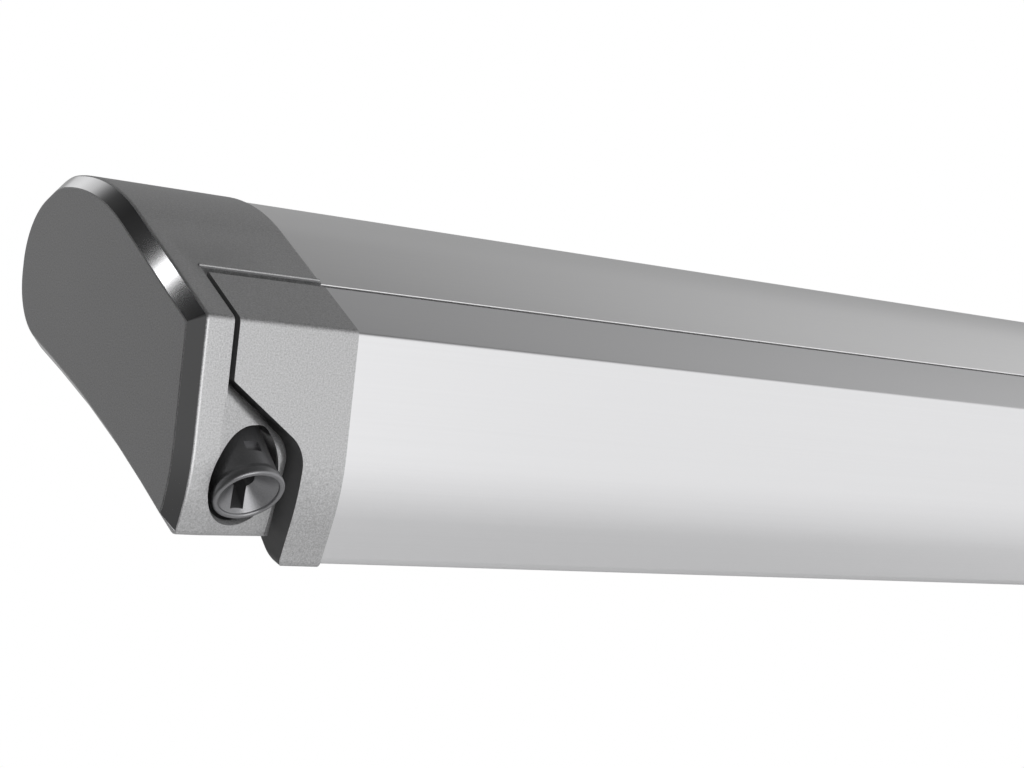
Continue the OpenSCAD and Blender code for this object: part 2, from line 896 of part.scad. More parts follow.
upper_x0 = -shoulder_x + tube_start;
upper_x1 = -elbow_x - tube_elbow;
module shoulder_knuckle() {
  difference() {
    union() {
      flat_link([-shoulder_x, 0], eye_r, upper_c - arm_w / 2, upper_c + arm_w / 2, upper_x0 - 12, arm_h);
      tube_shoulder(upper_x0 - 12.5, upper_x0, upper_c);
      tube_plug(upper_x0, upper_x0 + plug_len, upper_c);
    }
    translate([-shoulder_x, 0, -far / 2]) cylinder(r = pin_r + run_gap / 2, h = far);
  }
}

module upper_tube() {
  arm_tube(upper_x0, upper_x1, upper_c);
}

module elbow_fork() {
  elbow = [-elbow_x, -pivot_step];
  difference() {
    union() {
      flat_link(elbow, eye_r, upper_c - arm_w / 2, upper_c + arm_w / 2, upper_x1 + 12, arm_h);
      tube_shoulder(upper_x1, upper_x1 + 12.5, upper_c);
      tube_plug(upper_x1 - plug_len, upper_x1, upper_c);
    }
    translate([elbow[0], elbow[1], 0]) {
      cylinder(r = tube_elbow - 12, h = neck_h + 2 * run_gap, center = true);
      cylinder(r = pin_r + 0.05, h = far, center = true);
    }
  }
}

module elbow_pin() {
  translate([-elbow_x, -pivot_step, 0]) {
    cylinder(r = pin_r, h = arm_h, center = true);
    for (s = [-1, 1])
      translate([0, 0, s * (arm_h / 2 + 0.6)]) cylinder(r = pin_r + 2, h = 1.2, center = true);
  }
}

fore_x0 = -shoulder_x + tube_start;
fore_x1 = -elbow_x - tube_elbow;
module elbow_knuckle() {
  elbow = [-elbow_x, -pivot_step];
  difference() {
    union() {
      flat_link(elbow, eye_r, fore_c - arm_w / 2, fore_c + arm_w / 2, fore_x1 + 12, neck_h);
      tube_shoulder(fore_x1, fore_x1 + 12.5, fore_c);
      tube_plug(fore_x1 - plug_len, fore_x1, fore_c);
    }
    translate([elbow[0], elbow[1], 0])
      cylinder(r = pin_r + run_gap / 2, h = far, center = true);
  }
}

module fore_tube() {
  arm_tube(fore_x0, fore_x1, fore_c);
}

wrist_eye_r = 15;
module wrist_knuckle() {
  wrist = [-shoulder_x, -2 * pivot_step];
  difference() {
    union() {
      flat_link(wrist, wrist_eye_r, fore_c - arm_w / 2, fore_c + arm_w / 2, fore_x0 - 12, neck_h);
      tube_shoulder(fore_x0 - 12.5, fore_x0, fore_c);
      tube_plug(fore_x0, fore_x0 + plug_len, fore_c);
    }
    translate([wrist[0], wrist[1], 0])
      cylinder(r = pin_r + run_gap, h = far, center = true);
  }
}

// Spring cartridge in the fore tube: barrel at the elbow, rod to the wrist
module spring_cartridge() {
  barrel_r = arm_w / 2 - arm_wall - 1.5;
  spring_x0 = fore_x0 + plug_len;
  spring_x1 = fore_x1 - plug_len;
  barrel_x0 = spring_x0 + (spring_x1 - spring_x0) * 0.35;
  translate([0, fore_c, 0])
    rotate([0, 90, 0]) {
      translate([0, 0, spring_x0]) cylinder(r = 4, h = barrel_x0 - spring_x0);
      translate([0, 0, barrel_x0]) cylinder(r = barrel_r, h = spring_x1 - barrel_x0);
    }
}

// Shoulder bracket: two cheeks on a back wall that stands on the floor of the case
bracket_back = eye_r + 3;
bracket_t = 7;
bracket_w = 44;
foot_w = bracket_w + 36;
foot_depth = 60;
foot_t = 6;
foot_edge = 9;
foot_front = shoulder_y - 8;
module shoulder_bracket() {
  cheek_z = arm_h / 2 + run_gap;
  difference() {
    intersection() {
      union() {
        arm_frame() {
          for (s = [-1, 1])
            translate([-shoulder_x, 0, s * (cheek_z + cheek_t / 2)])
              linear_extrude(cheek_t, center = true)
                hull() {
                  circle(eye_r);
                  translate([-bracket_w / 2, bracket_back]) square([bracket_w, bracket_t]);
                }
          translate([-shoulder_x - bracket_w / 2, bracket_back, -60])
            cube([bracket_w, bracket_t, 60 + cheek_z + cheek_t]);
        }
        seat_frame()
          box(-shoulder_x - foot_w / 2, -shoulder_x + foot_w / 2,
              foot_front, foot_front + foot_depth, case_wall, case_wall + foot_t);
      }
      seat_frame() box(-far, far, -far, far, case_wall, far);
    }
    arm_frame()
      translate([-shoulder_x, 0, 0]) cylinder(r = pin_r + 0.05, h = far, center = true);
    shoulder_screw_places() cylinder(r = screw_r + plug_gap, h = foot_depth, center = true);
  }
}

screw_r = 3;
module shoulder_screw_places() {
  for (side = [-1, 1])
    for (y = [foot_front + foot_edge, foot_front + foot_depth - foot_edge])
      seat_frame()
        translate([-shoulder_x + side * (foot_w / 2 - foot_edge), y, case_wall + foot_t]) children();
}

module shoulder_screws() {
  color("gainsboro")
    for (end = [0, 1])
      mirror([end, 0, 0])
        shoulder_screw_places() {
          translate([0, 0, -foot_t]) cylinder(r = screw_r, h = foot_t);
          cylinder(r = screw_r * 1.8, h = 3.5);
        }
}

module shoulder_pins() {
  pin_h = arm_h + 2 * run_gap + 2 * cheek_t;
  color("gainsboro")
    for (end = [0, 1])
      mirror([end, 0, 0])
        arm_frame()
          translate([-shoulder_x, 0, 0]) {
            cylinder(r = pin_r, h = pin_h, center = true);
            for (s = [-1, 1])
              translate([0, 0, s * (pin_h / 2 + 1)]) cylinder(r = pin_r + 2.5, h = 2, center = true);
          }
}

// Wrist bracket: a clevis on the shelf of the lead rail
wrist_back = wrist_eye_r + 3;
wrist_w = 40;
module wrist_bracket() {
  cheek_z = neck_h / 2 + run_gap;
  difference() {
    intersection() {
      union() {
        arm_frame()
          translate([-shoulder_x, -2 * pivot_step, 0]) {
            for (s = [-1, 1])
              translate([0, 0, s * (cheek_z + cheek_t / 2)])
                linear_extrude(cheek_t, center = true)
                  hull() {
                    circle(wrist_eye_r);
                    translate([-wrist_w / 2, -wrist_back - bracket_t]) square([wrist_w, bracket_t]);
                  }
            translate([-wrist_w / 2, -wrist_back - bracket_t, -60])
              cube([wrist_w, bracket_t, 60 + cheek_z + cheek_t]);
          }
        box(-shoulder_x - wrist_w / 2 - 16, -shoulder_x + wrist_w / 2 + 16,
            -front_y + 8, -lead_rear_y - 8, shelf_z, shelf_z + 5);
      }
      box(-far, far, -front_y + cap_proud + lead_wall + 0.2, far, shelf_z, far);
    }
    arm_frame()
      translate([-shoulder_x, -2 * pivot_step, 0]) cylinder(r = pin_r + 0.05, h = far, center = true);
  }
}

module wrist_pins() {
  pin_h = neck_h + 2 * run_gap + 2 * cheek_t;
  color("gainsboro")
    for (end = [0, 1])
      mirror([end, 0, 0])
        arm_frame()
          translate([-shoulder_x, -2 * pivot_step, 0]) {
            cylinder(r = pin_r, h = pin_h, center = true);
            for (s = [-1, 1])
              translate([0, 0, s * (pin_h / 2 + 0.8)]) cylinder(r = pin_r + 2, h = 1.6, center = true);
          }
}

// Legs: the left leg lies in the front lane, the right leg in the rear lane.
// A leg is drawn pointing to +x from its hinge, with its lane's middle at y = 0.
module leg_place(end) {
  if (end < 0)
    translate([-leg_x, lane_front_c, leg_z]) children();
  else
    translate([leg_x, lane_rear_c, leg_z]) mirror([1, 0, 0]) children();
}

leg_pin_r = leg_pin_d / 2;
heel = 9;
bracket_plate = lane_gap - run_gap;
bracket_len = 28;
module leg_brackets() {
  color("dimgray")
    for (end = [-1, 1])
      leg_place(end)
        for (s = [-1, 1])
          translate([0, s * (lane_w - bracket_plate) / 2, 0])
            difference() {
              translate([-bracket_len / 2, -bracket_plate / 2, -leg_h / 2])
                cube([bracket_len, bracket_plate, lane_top_z - leg_z + leg_h / 2]);
              rotate([90, 0, 0]) cylinder(r = leg_pin_r + 0.05, h = lane_w, center = true);
            }
}

module leg_pins() {
  color("gainsboro")
    for (end = [-1, 1])
      leg_place(end)
        rotate([90, 0, 0]) cylinder(r = leg_pin_r, h = lane_w - 0.1, center = true);
}

inner_gap = 0.4;
inner_w = leg_w - 2 * leg_wall - 2 * inner_gap;
inner_h = leg_h - 2 * leg_wall - 2 * inner_gap;
heel_plug = 24;
module leg_outer() {
  difference() {
    union() {
      along_x(0, leg_len) leg_tube_section(leg_w, leg_h);
      along_x(0, heel_plug) rounded_rect(leg_w, leg_h, 2);
      rotate([90, 0, 0]) cylinder(r = heel, h = leg_w, center = true);
    }
    rotate([90, 0, 0]) cylinder(r = leg_pin_r + run_gap / 2, h = 40, center = true);
  }
}

module leg_tube_section(w, h) {
  difference() {
    rounded_rect(w, h, 2);
    rounded_rect(w - 2 * leg_wall, h - 2 * leg_wall, 1);
  }
}

// Clamp: a collar on the end of the outer tube, with a lever in a notch underneath
collar_len = 34;
collar_extra = 1.4;
collar_drop = 1.5;
lever_w = 8.6;
lever_t = 2.2;
lever_len = 26;
lever_x = leg_len + 6;
lever_z = -leg_h / 2 - collar_drop + lever_t / 2 + 0.2;
lever_pin_r = 0.9;
module leg_collar() {
  difference() {
    translate([0, 0, -collar_drop / 2])
      along_x(leg_len, leg_len + collar_len)
        rounded_rect(leg_w + collar_extra, leg_h + collar_drop, 2);
    along_x(leg_len - 1, leg_len + collar_len + 1)
      rounded_rect(leg_w - 2 * leg_wall, leg_h - 2 * leg_wall, 1);
    translate([lever_x - 2, -lever_w / 2 - run_gap, lever_z - 4])
      cube([lever_len + 5, lever_w + 2 * run_gap, lever_t / 2 + 4 + run_gap]);
    translate([lever_x, 0, lever_z])
      rotate([90, 0, 0]) cylinder(r = lever_pin_r + 0.12, h = lever_w + 5, center = true);
  }
}

module leg_lever() {
  translate([lever_x, 0, lever_z]) {
    rotate([90, 0, 0]) cylinder(r = lever_t / 2, h = lever_w, center = true);
    rotate([90, 0, 0]) cylinder(r = lever_pin_r, h = lever_w + 4, center = true);
    translate([0, -lever_w / 2, -lever_t / 2]) cube([lever_len, lever_w, lever_t]);
  }
}

// Inner tube with a tongue for the foot
tongue_t = 6;
tongue_r = 7;
foot_reach = 14;
inner_inset = 100;
inner_len = leg_len - inner_inset;
inner_end = leg_len + collar_len + 2;
foot_x = inner_end + foot_reach;
foot_pin_r = 2.5;
module leg_inner() {
  difference() {
    union() {
      along_x(inner_end - inner_len, inner_end) leg_tube_section(inner_w, inner_h);
      along_x(inner_end - 16, inner_end) rounded_rect(inner_w, inner_h, 2);
      translate([inner_end, -tongue_t / 2, -tongue_r]) cube([foot_reach, tongue_t, 2 * tongue_r]);
      translate([foot_x, 0, 0]) rotate([90, 0, 0]) cylinder(r = tongue_r, h = tongue_t, center = true);
    }
    translate([foot_x, 0, 0])
      rotate([90, 0, 0]) cylinder(r = foot_pin_r + run_gap / 2, h = 40, center = true);
  }
}

// Foot: a fork round the tongue with a sole plate
foot_r = 9;
foot_len = 26;
sole_t = 4;
module leg_foot() {
  translate([foot_x, 0, 0]) {
    difference() {
      union() {
        rotate([90, 0, 0]) cylinder(r = foot_r, h = leg_w, center = true);
        translate([0, -leg_w / 2, -foot_r]) cube([foot_len, leg_w, 2 * foot_r]);
        translate([foot_len - sole_t, -leg_w / 2, -leg_h / 2]) cube([sole_t, leg_w, leg_h]);
      }
      rotate([90, 0, 0]) cylinder(r = foot_r + 2, h = tongue_t + 2 * run_gap, center = true);
    }
    rotate([90, 0, 0]) cylinder(r = foot_pin_r, h = leg_w, center = true);
  }
}

module left_arm() {
  arm_frame() children();
}

module right_arm() {
  mirror([1, 0, 0]) arm_frame() children();
}

module left_shoulder_bracket() { color("slategray") shoulder_bracket(); }
module left_shoulder_knuckle() { color("silver") left_arm() shoulder_knuckle(); }
module left_upper_tube() { color("lightgray") left_arm() upper_tube(); }
module left_elbow_fork() { color("silver") left_arm() elbow_fork(); }
module left_elbow_pin() { color("gainsboro") left_arm() elbow_pin(); }
module left_elbow_knuckle() { color("silver") left_arm() elbow_knuckle(); }
module left_fore_tube() { color("lightgray") left_arm() fore_tube(); }
module left_wrist_knuckle() { color("silver") left_arm() wrist_knuckle(); }
module left_spring() { color("dimgray") left_arm() spring_cartridge(); }
module left_wrist_bracket() { color("slategray") wrist_bracket(); }
module right_shoulder_bracket() { color("slategray") mirror([1, 0, 0]) shoulder_bracket(); }
module right_shoulder_knuckle() { color("silver") right_arm() shoulder_knuckle(); }
module right_upper_tube() { color("lightgray") right_arm() upper_tube(); }
module right_elbow_fork() { color("silver") right_arm() elbow_fork(); }
module right_elbow_pin() { color("gainsboro") right_arm() elbow_pin(); }
module right_elbow_knuckle() { color("silver") right_arm() elbow_knuckle(); }
module right_fore_tube() { color("lightgray") right_arm() fore_tube(); }
module right_wrist_knuckle() { color("silver") right_arm() wrist_knuckle(); }
module right_spring() { color("dimgray") right_arm() spring_cartridge(); }
module right_wrist_bracket() { color("slategray") mirror([1, 0, 0]) wrist_bracket(); }
module left_leg_outer() { color("lightgray") leg_place(-1) leg_outer(); }
module left_leg_collar() { color("dimgray") leg_place(-1) leg_collar(); }
module left_leg_lever() { color("gray") leg_place(-1) leg_lever(); }
module left_leg_inner() { color("silver") leg_place(-1) leg_inner(); }
module left_leg_foot() { color("dimgray") leg_place(-1) leg_foot(); }
module right_leg_outer() { color("lightgray") leg_place(1) leg_outer(); }
module right_leg_collar() { color("dimgray") leg_place(1) leg_collar(); }
module right_leg_lever() { color("gray") leg_place(1) leg_lever(); }
module right_leg_inner() { color("silver") leg_place(1) leg_inner(); }
module right_leg_foot() { color("dimgray") leg_place(1) leg_foot(); }

case_profile();
left_end_cap();
right_end_cap();
left_side_plate();
right_side_plate();
plate_screws();
mount_inserts();
roof_seal();
gearbox_body();
gearbox_cover();
crank_shaft();
crank_bell();
roller_tube();
drive_plug();
idler_plug();
idler_bush();
fabric_roll();
fabric_run();
fabric_hem();
lead_rail();
left_lead_cap();
right_lead_cap();
keder_rod();
shoulder_pins();
shoulder_screws();
wrist_pins();
leg_brackets();
leg_pins();
left_shoulder_bracket();
left_shoulder_knuckle();
left_upper_tube();
left_elbow_fork();
left_elbow_pin();
left_elbow_knuckle();
left_fore_tube();
left_wrist_knuckle();
left_spring();
left_wrist_bracket();
right_shoulder_bracket();
right_shoulder_knuckle();
right_upper_tube();
right_elbow_fork();
right_elbow_pin();
right_elbow_knuckle();
right_fore_tube();
right_wrist_knuckle();
right_spring();
right_wrist_bracket();
left_leg_outer();
left_leg_collar();
left_leg_lever();
left_leg_inner();
left_leg_foot();
right_leg_outer();
right_leg_collar();
right_leg_lever();
right_leg_inner();
right_leg_foot();
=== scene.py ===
# %% [markdown]
# # A roll out awning, closed, in a plain studio
#
# This lesson dresses a camper's cassette awning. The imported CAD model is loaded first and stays
# where it is: every piece made here is built in the same frame, in metres, with the awning's
# length along X, its front towards -Y and its roof towards +Z.
# The long profiles and the moulded caps are made again with finer curves, because their smooth
# reflections are what the eye reads first. Pins, brackets, arms and legs keep their CAD shape and
# get finishes of their own.

import json
import math

import bmesh
import bpy
from mathutils import Matrix, Vector


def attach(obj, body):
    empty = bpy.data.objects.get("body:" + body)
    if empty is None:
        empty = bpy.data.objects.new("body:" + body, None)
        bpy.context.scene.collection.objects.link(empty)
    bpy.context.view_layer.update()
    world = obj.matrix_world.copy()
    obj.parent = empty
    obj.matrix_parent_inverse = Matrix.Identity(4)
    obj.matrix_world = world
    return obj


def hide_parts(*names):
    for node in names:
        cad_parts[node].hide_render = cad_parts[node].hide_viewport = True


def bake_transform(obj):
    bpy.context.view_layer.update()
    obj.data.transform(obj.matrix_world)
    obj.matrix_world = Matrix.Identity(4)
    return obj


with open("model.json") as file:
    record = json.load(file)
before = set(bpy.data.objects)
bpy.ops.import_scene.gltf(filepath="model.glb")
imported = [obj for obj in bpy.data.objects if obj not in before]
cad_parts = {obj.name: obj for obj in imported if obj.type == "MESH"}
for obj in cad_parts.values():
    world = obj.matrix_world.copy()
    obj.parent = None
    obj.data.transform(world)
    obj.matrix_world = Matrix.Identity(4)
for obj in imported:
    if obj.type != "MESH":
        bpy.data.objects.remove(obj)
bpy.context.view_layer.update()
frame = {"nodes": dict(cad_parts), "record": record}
scene = bpy.context.scene
scene.view_settings.view_transform = "Standard"
MM = 0.001


def placed(name, data):
    obj = bpy.data.objects.new(name, data)
    scene.collection.objects.link(obj)
    return obj


# %% [markdown]
# ## The camera
#
# The photograph looks along the awning from its crank end, a little from the front and almost
# level with the crease between roof and front. Its perspective was solved from the edges that run
# away from us, which gives the place and the three directions below. The picture is 1024 pixels
# wide and the focal length 2000 pixels, so a 36 mm sensor takes a 70.3 mm lens.

# %% Camera
picture_px, focal_px, sensor_mm = (1024, 768), 2000.0, 36.0
camera_data = bpy.data.cameras.new("photo_camera")
camera_data.sensor_width = sensor_mm
camera_data.lens = focal_px / picture_px[0] * sensor_mm
camera_data.clip_start = 0.01
camera = placed("photo_camera", camera_data)
to_right = Vector((0.79381, -0.59893, 0.10561))
to_down = Vector((0.08003, -0.06926, -0.99438))
to_far = Vector((0.60288, 0.79780, -0.00705))
camera_place = Vector((-1.7429, -0.9386, 0.0462))
camera.matrix_world = Matrix.Translation(camera_place) @ Matrix(
    (to_right, -to_down, -to_far)).transposed().to_4x4()
scene.camera = camera
crease_end = Vector((-1.300, -0.095, 0.051)) - camera_place
print("crease end in pixels:", [round(size / 2 + focal_px * crease_end.dot(way) / crease_end.dot(to_far))
                                for size, way in zip(picture_px, (to_right, to_down))])

# %% [markdown]
# ## Shared shader groups
#
# Two effects come back on several finishes. `grain` is the fine speckle of moulded plastic and of
# blasted castings. `drawn_lines` is the faint streaking that a die leaves along an extrusion.
# Each is a node group with named inputs, so a material only states its own scale and strength.
# Both read Object coordinates: all pieces sit at the origin, so patterns run on from piece to piece.

# %% Shader group helpers
def new_group(name, inputs, outputs, kind="ShaderNodeTree"):
    tree = bpy.data.node_groups.new(name, kind)
    for title, sort, value in inputs:
        socket = tree.interface.new_socket(name=title, in_out="INPUT", socket_type="NodeSocket" + sort)
        if value is not None:
            socket.default_value = value
    for title, sort in outputs:
        tree.interface.new_socket(name=title, in_out="OUTPUT", socket_type="NodeSocket" + sort)
    return tree, tree.nodes.new("NodeGroupInput"), tree.nodes.new("NodeGroupOutput")


def add_node(tree, kind, **values):
    node = tree.nodes.new(kind)
    for key, value in values.items():
        setattr(node, key, value)
    return node


def noise_of(tree, vector, scale, detail, rough=0.5):
    noise = add_node(tree, "ShaderNodeTexNoise")
    noise.inputs["Detail"].default_value = detail
    noise.inputs["Roughness"].default_value = rough
    tree.links.new(vector, noise.inputs["Vector"])
    if isinstance(scale, (int, float)):
        noise.inputs["Scale"].default_value = scale
    else:
        tree.links.new(scale, noise.inputs["Scale"])
    return noise.outputs["Fac"]


def math_of(tree, operation, first, second):
    node = add_node(tree, "ShaderNodeMath", operation=operation)
    for socket, value in zip(node.inputs, (first, second)):
        if isinstance(value, (int, float)):
            socket.default_value = value
        else:
            tree.links.new(value, socket)
    return node.outputs[0]


def shade_of(tree, colour, factor):
    node = add_node(tree, "ShaderNodeMix", data_type="RGBA", blend_type="MULTIPLY")
    node.inputs["Factor"].default_value = 1.0
    tree.links.new(colour, node.inputs[6])
    tree.links.new(factor, node.inputs[7])
    return node.outputs[2]


def varied(tree, pattern, strength):
    """A pattern round 0.5 as a swing round 0, with the given strength."""
    return math_of(tree, "MULTIPLY", math_of(tree, "SUBTRACT", pattern, 0.5), strength)


print("shader helpers for groups, nodes, noise, sums and shading")

# %% Grain and drawn lines
finish_outputs = [("Colour", "Color"), ("Roughness", "Float"), ("Height", "Float")]


def make_grain():
    tree, given, out = new_group(
        "grain",
        [("Colour", "Color", (0.5, 0.5, 0.5, 1)), ("Scale", "Float", 900.0), ("Speckle", "Float", 0.2),
         ("Roughness", "Float", 0.5)], finish_outputs)
    place = add_node(tree, "ShaderNodeTexCoord").outputs["Object"]
    fine = noise_of(tree, place, given.outputs["Scale"], 3.0, 0.65)
    broad = noise_of(tree, place, 9.0, 2.0)
    speck = varied(tree, fine, given.outputs["Speckle"])
    cloud = varied(tree, broad, 0.10)
    factor = math_of(tree, "ADD", math_of(tree, "ADD", speck, cloud), 1.0)
    tree.links.new(shade_of(tree, given.outputs["Colour"], factor), out.inputs["Colour"])
    rough = math_of(tree, "ADD", given.outputs["Roughness"], math_of(tree, "MULTIPLY", speck, 0.4))
    tree.links.new(rough, out.inputs["Roughness"])
    tree.links.new(fine, out.inputs["Height"])
    return tree


def make_drawn_lines():
    tree, given, out = new_group(
        "drawn_lines",
        [("Colour", "Color", (0.7, 0.7, 0.7, 1)), ("Roughness", "Float", 0.35), ("Streak", "Float", 0.06)],
        finish_outputs)
    place = add_node(tree, "ShaderNodeTexCoord").outputs["Object"]
    stretch = add_node(tree, "ShaderNodeMapping")
    stretch.inputs["Scale"].default_value = (2.0, 900.0, 900.0)
    tree.links.new(place, stretch.inputs["Vector"])
    lines = noise_of(tree, stretch.outputs["Vector"], 1.0, 4.0, 0.7)
    broad = noise_of(tree, place, 3.0, 2.0)
    streak = varied(tree, lines, given.outputs["Streak"])
    cloud = varied(tree, broad, 0.04)
    factor = math_of(tree, "ADD", math_of(tree, "ADD", streak, cloud), 1.0)
    tree.links.new(shade_of(tree, given.outputs["Colour"], factor), out.inputs["Colour"])
    tree.links.new(math_of(tree, "ADD", given.outputs["Roughness"], streak), out.inputs["Roughness"])
    tree.links.new(lines, out.inputs["Height"])
    return tree


grain_group = make_grain()
lines_group = make_drawn_lines()
print("shader groups:", grain_group.name, lines_group.name)

# %% [markdown]
# ## Finishes
#
# A finish is one Principled shader fed by one of the groups. What is the same all over, such as
# the metal share, is set on the shader's own socket. The extrusions are satin anodised aluminium;
# the case's copy is painted lighter than the lead rail's, as painted light on its roof. The caps are
# a grey plastic with metal flakes, the lead caps' inner flanks are painted dark as painted shade,
# and only the bevel round their end face is polished.

# %% Materials
relief_depth = 0.2 * MM


def relief_of(tree, height, strength):
    node = add_node(tree, "ShaderNodeBump")
    node.inputs["Strength"].default_value = strength
    node.inputs["Distance"].default_value = relief_depth
    tree.links.new(height, node.inputs["Height"])
    return node.outputs["Normal"]


def finish(name, group, colour, rough, metal, strength, scale=None, bump=0.1):
    material = bpy.data.materials.new(name)
    material.use_nodes = True
    tree = material.node_tree
    shader = tree.nodes["Principled BSDF"]
    effect = add_node(tree, "ShaderNodeGroup", node_tree=group)
    effect.inputs["Colour"].default_value = (*colour, 1)
    effect.inputs["Roughness"].default_value = rough
    effect.inputs["Speckle" if group is grain_group else "Streak"].default_value = strength
    if scale is not None:
        effect.inputs["Scale"].default_value = scale
    tree.links.new(effect.outputs["Colour"], shader.inputs["Base Color"])
    tree.links.new(effect.outputs["Roughness"], shader.inputs["Roughness"])
    shader.inputs["Metallic"].default_value = metal
    tree.links.new(relief_of(tree, effect.outputs["Height"], bump), shader.inputs["Normal"])
    return material


satin_aluminium = finish("satin_aluminium", lines_group, (0.775, 0.775, 0.785), 0.36, 1.0, 0.05, bump=0.03)
# The case takes a lighter copy of the same aluminium: painted light that brightens its roof.
case_aluminium_painted_light = finish("case_aluminium_painted_light", lines_group, (0.97, 0.97, 0.975), 0.36, 1.0, 0.05, bump=0.03)
cap_grey = finish("cap_grey", grain_group, (0.48, 0.48, 0.485), 0.42, 0.82, 1.35, 1200.0, 0.50)
# Dark painted shade for the lead caps' inner flanks, which lie in shade in the notch by the crank block.
flank_painted_shade = finish("flank_painted_shade", grain_group, (0.12, 0.12, 0.122), 0.5, 0.0, 0.3, 1100.0, 0.2)
cap_bevel_polish = finish("cap_bevel_polish", grain_group, (0.92, 0.92, 0.93), 0.07, 1.0, 0.0, 700.0, 0.0)
bell_grey = finish("bell_grey", grain_group, (0.25, 0.25, 0.258), 0.34, 0.85, 0.45, 1300.0, 0.28)
black_plastic = finish("black_plastic", grain_group, (0.03, 0.03, 0.032), 0.5, 0.0, 0.25, 1200.0, 0.2)
cast_alloy = finish("cast_alloy", grain_group, (0.52, 0.52, 0.53), 0.5, 0.9, 0.30, 650.0, 0.35)
zinc_steel = finish("zinc_steel", grain_group, (0.62, 0.62, 0.64), 0.3, 1.0, 0.12, 400.0, 0.08)
pale_plastic = finish("pale_plastic", grain_group, (0.75, 0.75, 0.72), 0.45, 0.0, 0.08, 900.0, 0.08)
rubber_black = finish("rubber_black", grain_group, (0.035, 0.035, 0.035), 0.75, 0.0, 0.3, 800.0, 0.3)
print("finishes:", [material.name for material in (
    satin_aluminium, case_aluminium_painted_light, cap_grey, flank_painted_shade, cap_bevel_polish, bell_grey, black_plastic,
    cast_alloy, zinc_steel, pale_plastic, rubber_black)])

# %% [markdown]
# ### The fabric
#
# The fabric is a coated weave with stripes that run out with it. The pattern changes only along
# the awning's length, so it still looks right when the cloth is drawn out to the front.

# %% Fabric material
stripes_per_metre, threads_per_metre = 5.0, 1400.0


def make_fabric():
    material = bpy.data.materials.new("striped_cloth")
    material.use_nodes = True
    tree = material.node_tree
    shader = tree.nodes["Principled BSDF"]
    place = add_node(tree, "ShaderNodeTexCoord").outputs["Object"]
    across = add_node(tree, "ShaderNodeSeparateXYZ")
    tree.links.new(place, across.inputs[0])
    along = add_node(tree, "ShaderNodeCombineXYZ")
    tree.links.new(across.outputs["X"], along.inputs["X"])
    stripe = add_node(tree, "ShaderNodeValToRGB")
    stripe.color_ramp.interpolation = "CONSTANT"
    pale, mid, dark = (0.46, 0.47, 0.48, 1), (0.34, 0.345, 0.355, 1), (0.22, 0.225, 0.235, 1)
    stripe.color_ramp.elements[0].color = pale
    stripe.color_ramp.elements[1].position, stripe.color_ramp.elements[1].color = 0.70, pale
    for at, colour in ((0.30, mid), (0.38, dark), (0.62, mid)):
        stripe.color_ramp.elements.new(at).color = colour
    wave = math_of(tree, "FRACT", math_of(tree, "MULTIPLY", across.outputs["X"], stripes_per_metre), 0.0)
    tree.links.new(wave, stripe.inputs["Fac"])
    thread = noise_of(tree, along.outputs[0], threads_per_metre, 2.0)
    factor = math_of(tree, "ADD", varied(tree, thread, 0.5), 1.0)
    tree.links.new(shade_of(tree, stripe.outputs["Color"], factor), shader.inputs["Base Color"])
    shader.inputs["Roughness"].default_value = 0.7
    shader.inputs["Sheen Weight"].default_value = 0.15
    tree.links.new(relief_of(tree, thread, 0.2), shader.inputs["Normal"])
    return material


striped_cloth = make_fabric()
print("fabric:", striped_cloth.name)

# %% [markdown]
# ## Outlines of the cross section
#
# All long pieces share one cross section, so its corners are given once, as y and z in
# millimetres, going round from the front bottom. `rounded` moves the edges inwards and rounds the
# corners, with arcs fine enough to reflect smoothly.

# %% Section corners
front_y, rear_y, crease_z, bend_z, crown_z = 102.5, 108.7, 57.0, -22.0, 125.0
half_len, cap_len, cap_bevel, cap_wall, cap_gap = 1300.0, 91.5, 7.5, 3.0, 3.0
cap_end_x, case_end_x = half_len - cap_len, 1230.0
cap_proud, case_wall, lead_wall, seam_gap = 1.5, 2.4, 2.2, 0.8
strip_w, crank_w, lead_bottom_z, lead_rear_y, shelf_z = 21.5, 64.5, -62.5, 44.0, -4.0
front_r, crown_r, crest_r, back_r, belly_r, edge_r = 105.0, 145.0, 45.0, 45.0, 840.0, 4.0
tilt, pitch, lean = math.radians(24.8), math.radians(15.0), math.radians(19.6)
roof_slope, back_slope = math.radians(30), math.radians(25)
belly_rear, belly_front = tilt - math.radians(4.3), tilt + math.radians(4.2)


def meet(p, u, q, w):
    """Where the line through p along u crosses the line through q along w."""
    t = ((q[0] - p[0]) * w[1] - (q[1] - p[1]) * w[0]) / (u[0] * w[1] - u[1] * w[0])
    return (p[0] + u[0] * t, p[1] + u[1] * t)


def turned(angle):
    return (math.cos(angle), math.sin(angle))


belly_y, belly_sag, crest_flat = -6.4, 0.6, 2.0
belly_mid = (belly_y, belly_y * math.tan(tilt) + belly_sag)
crease, bend = (-front_y, crease_z), (-front_y, bend_z)
roof_dir = turned(roof_slope)
roof_top = (-front_y + (crown_z - crease_z) / math.tan(roof_slope), crown_z)
crest = (roof_top[0] + crown_r * math.tan(roof_slope / 2) + crest_r * math.tan(back_slope / 2) + crest_flat,
         crown_z)
back_top = (rear_y, crown_z - (rear_y - crest[0]) * math.tan(back_slope))
back_low = (rear_y, belly_mid[1] + (rear_y - belly_mid[0]) * math.tan(belly_rear))
front_low = meet(bend, (math.sin(lean), -math.cos(lean)), belly_mid, turned(belly_front))
cap_corners = [front_low, belly_mid, back_low, back_top, crest, roof_top, crease, bend]
cap_radii = [edge_r, belly_r, back_r, back_r, crest_r, crown_r, edge_r, front_r]
print("corners of the end section:", [[round(c, 1) for c in corner] for corner in cap_corners])

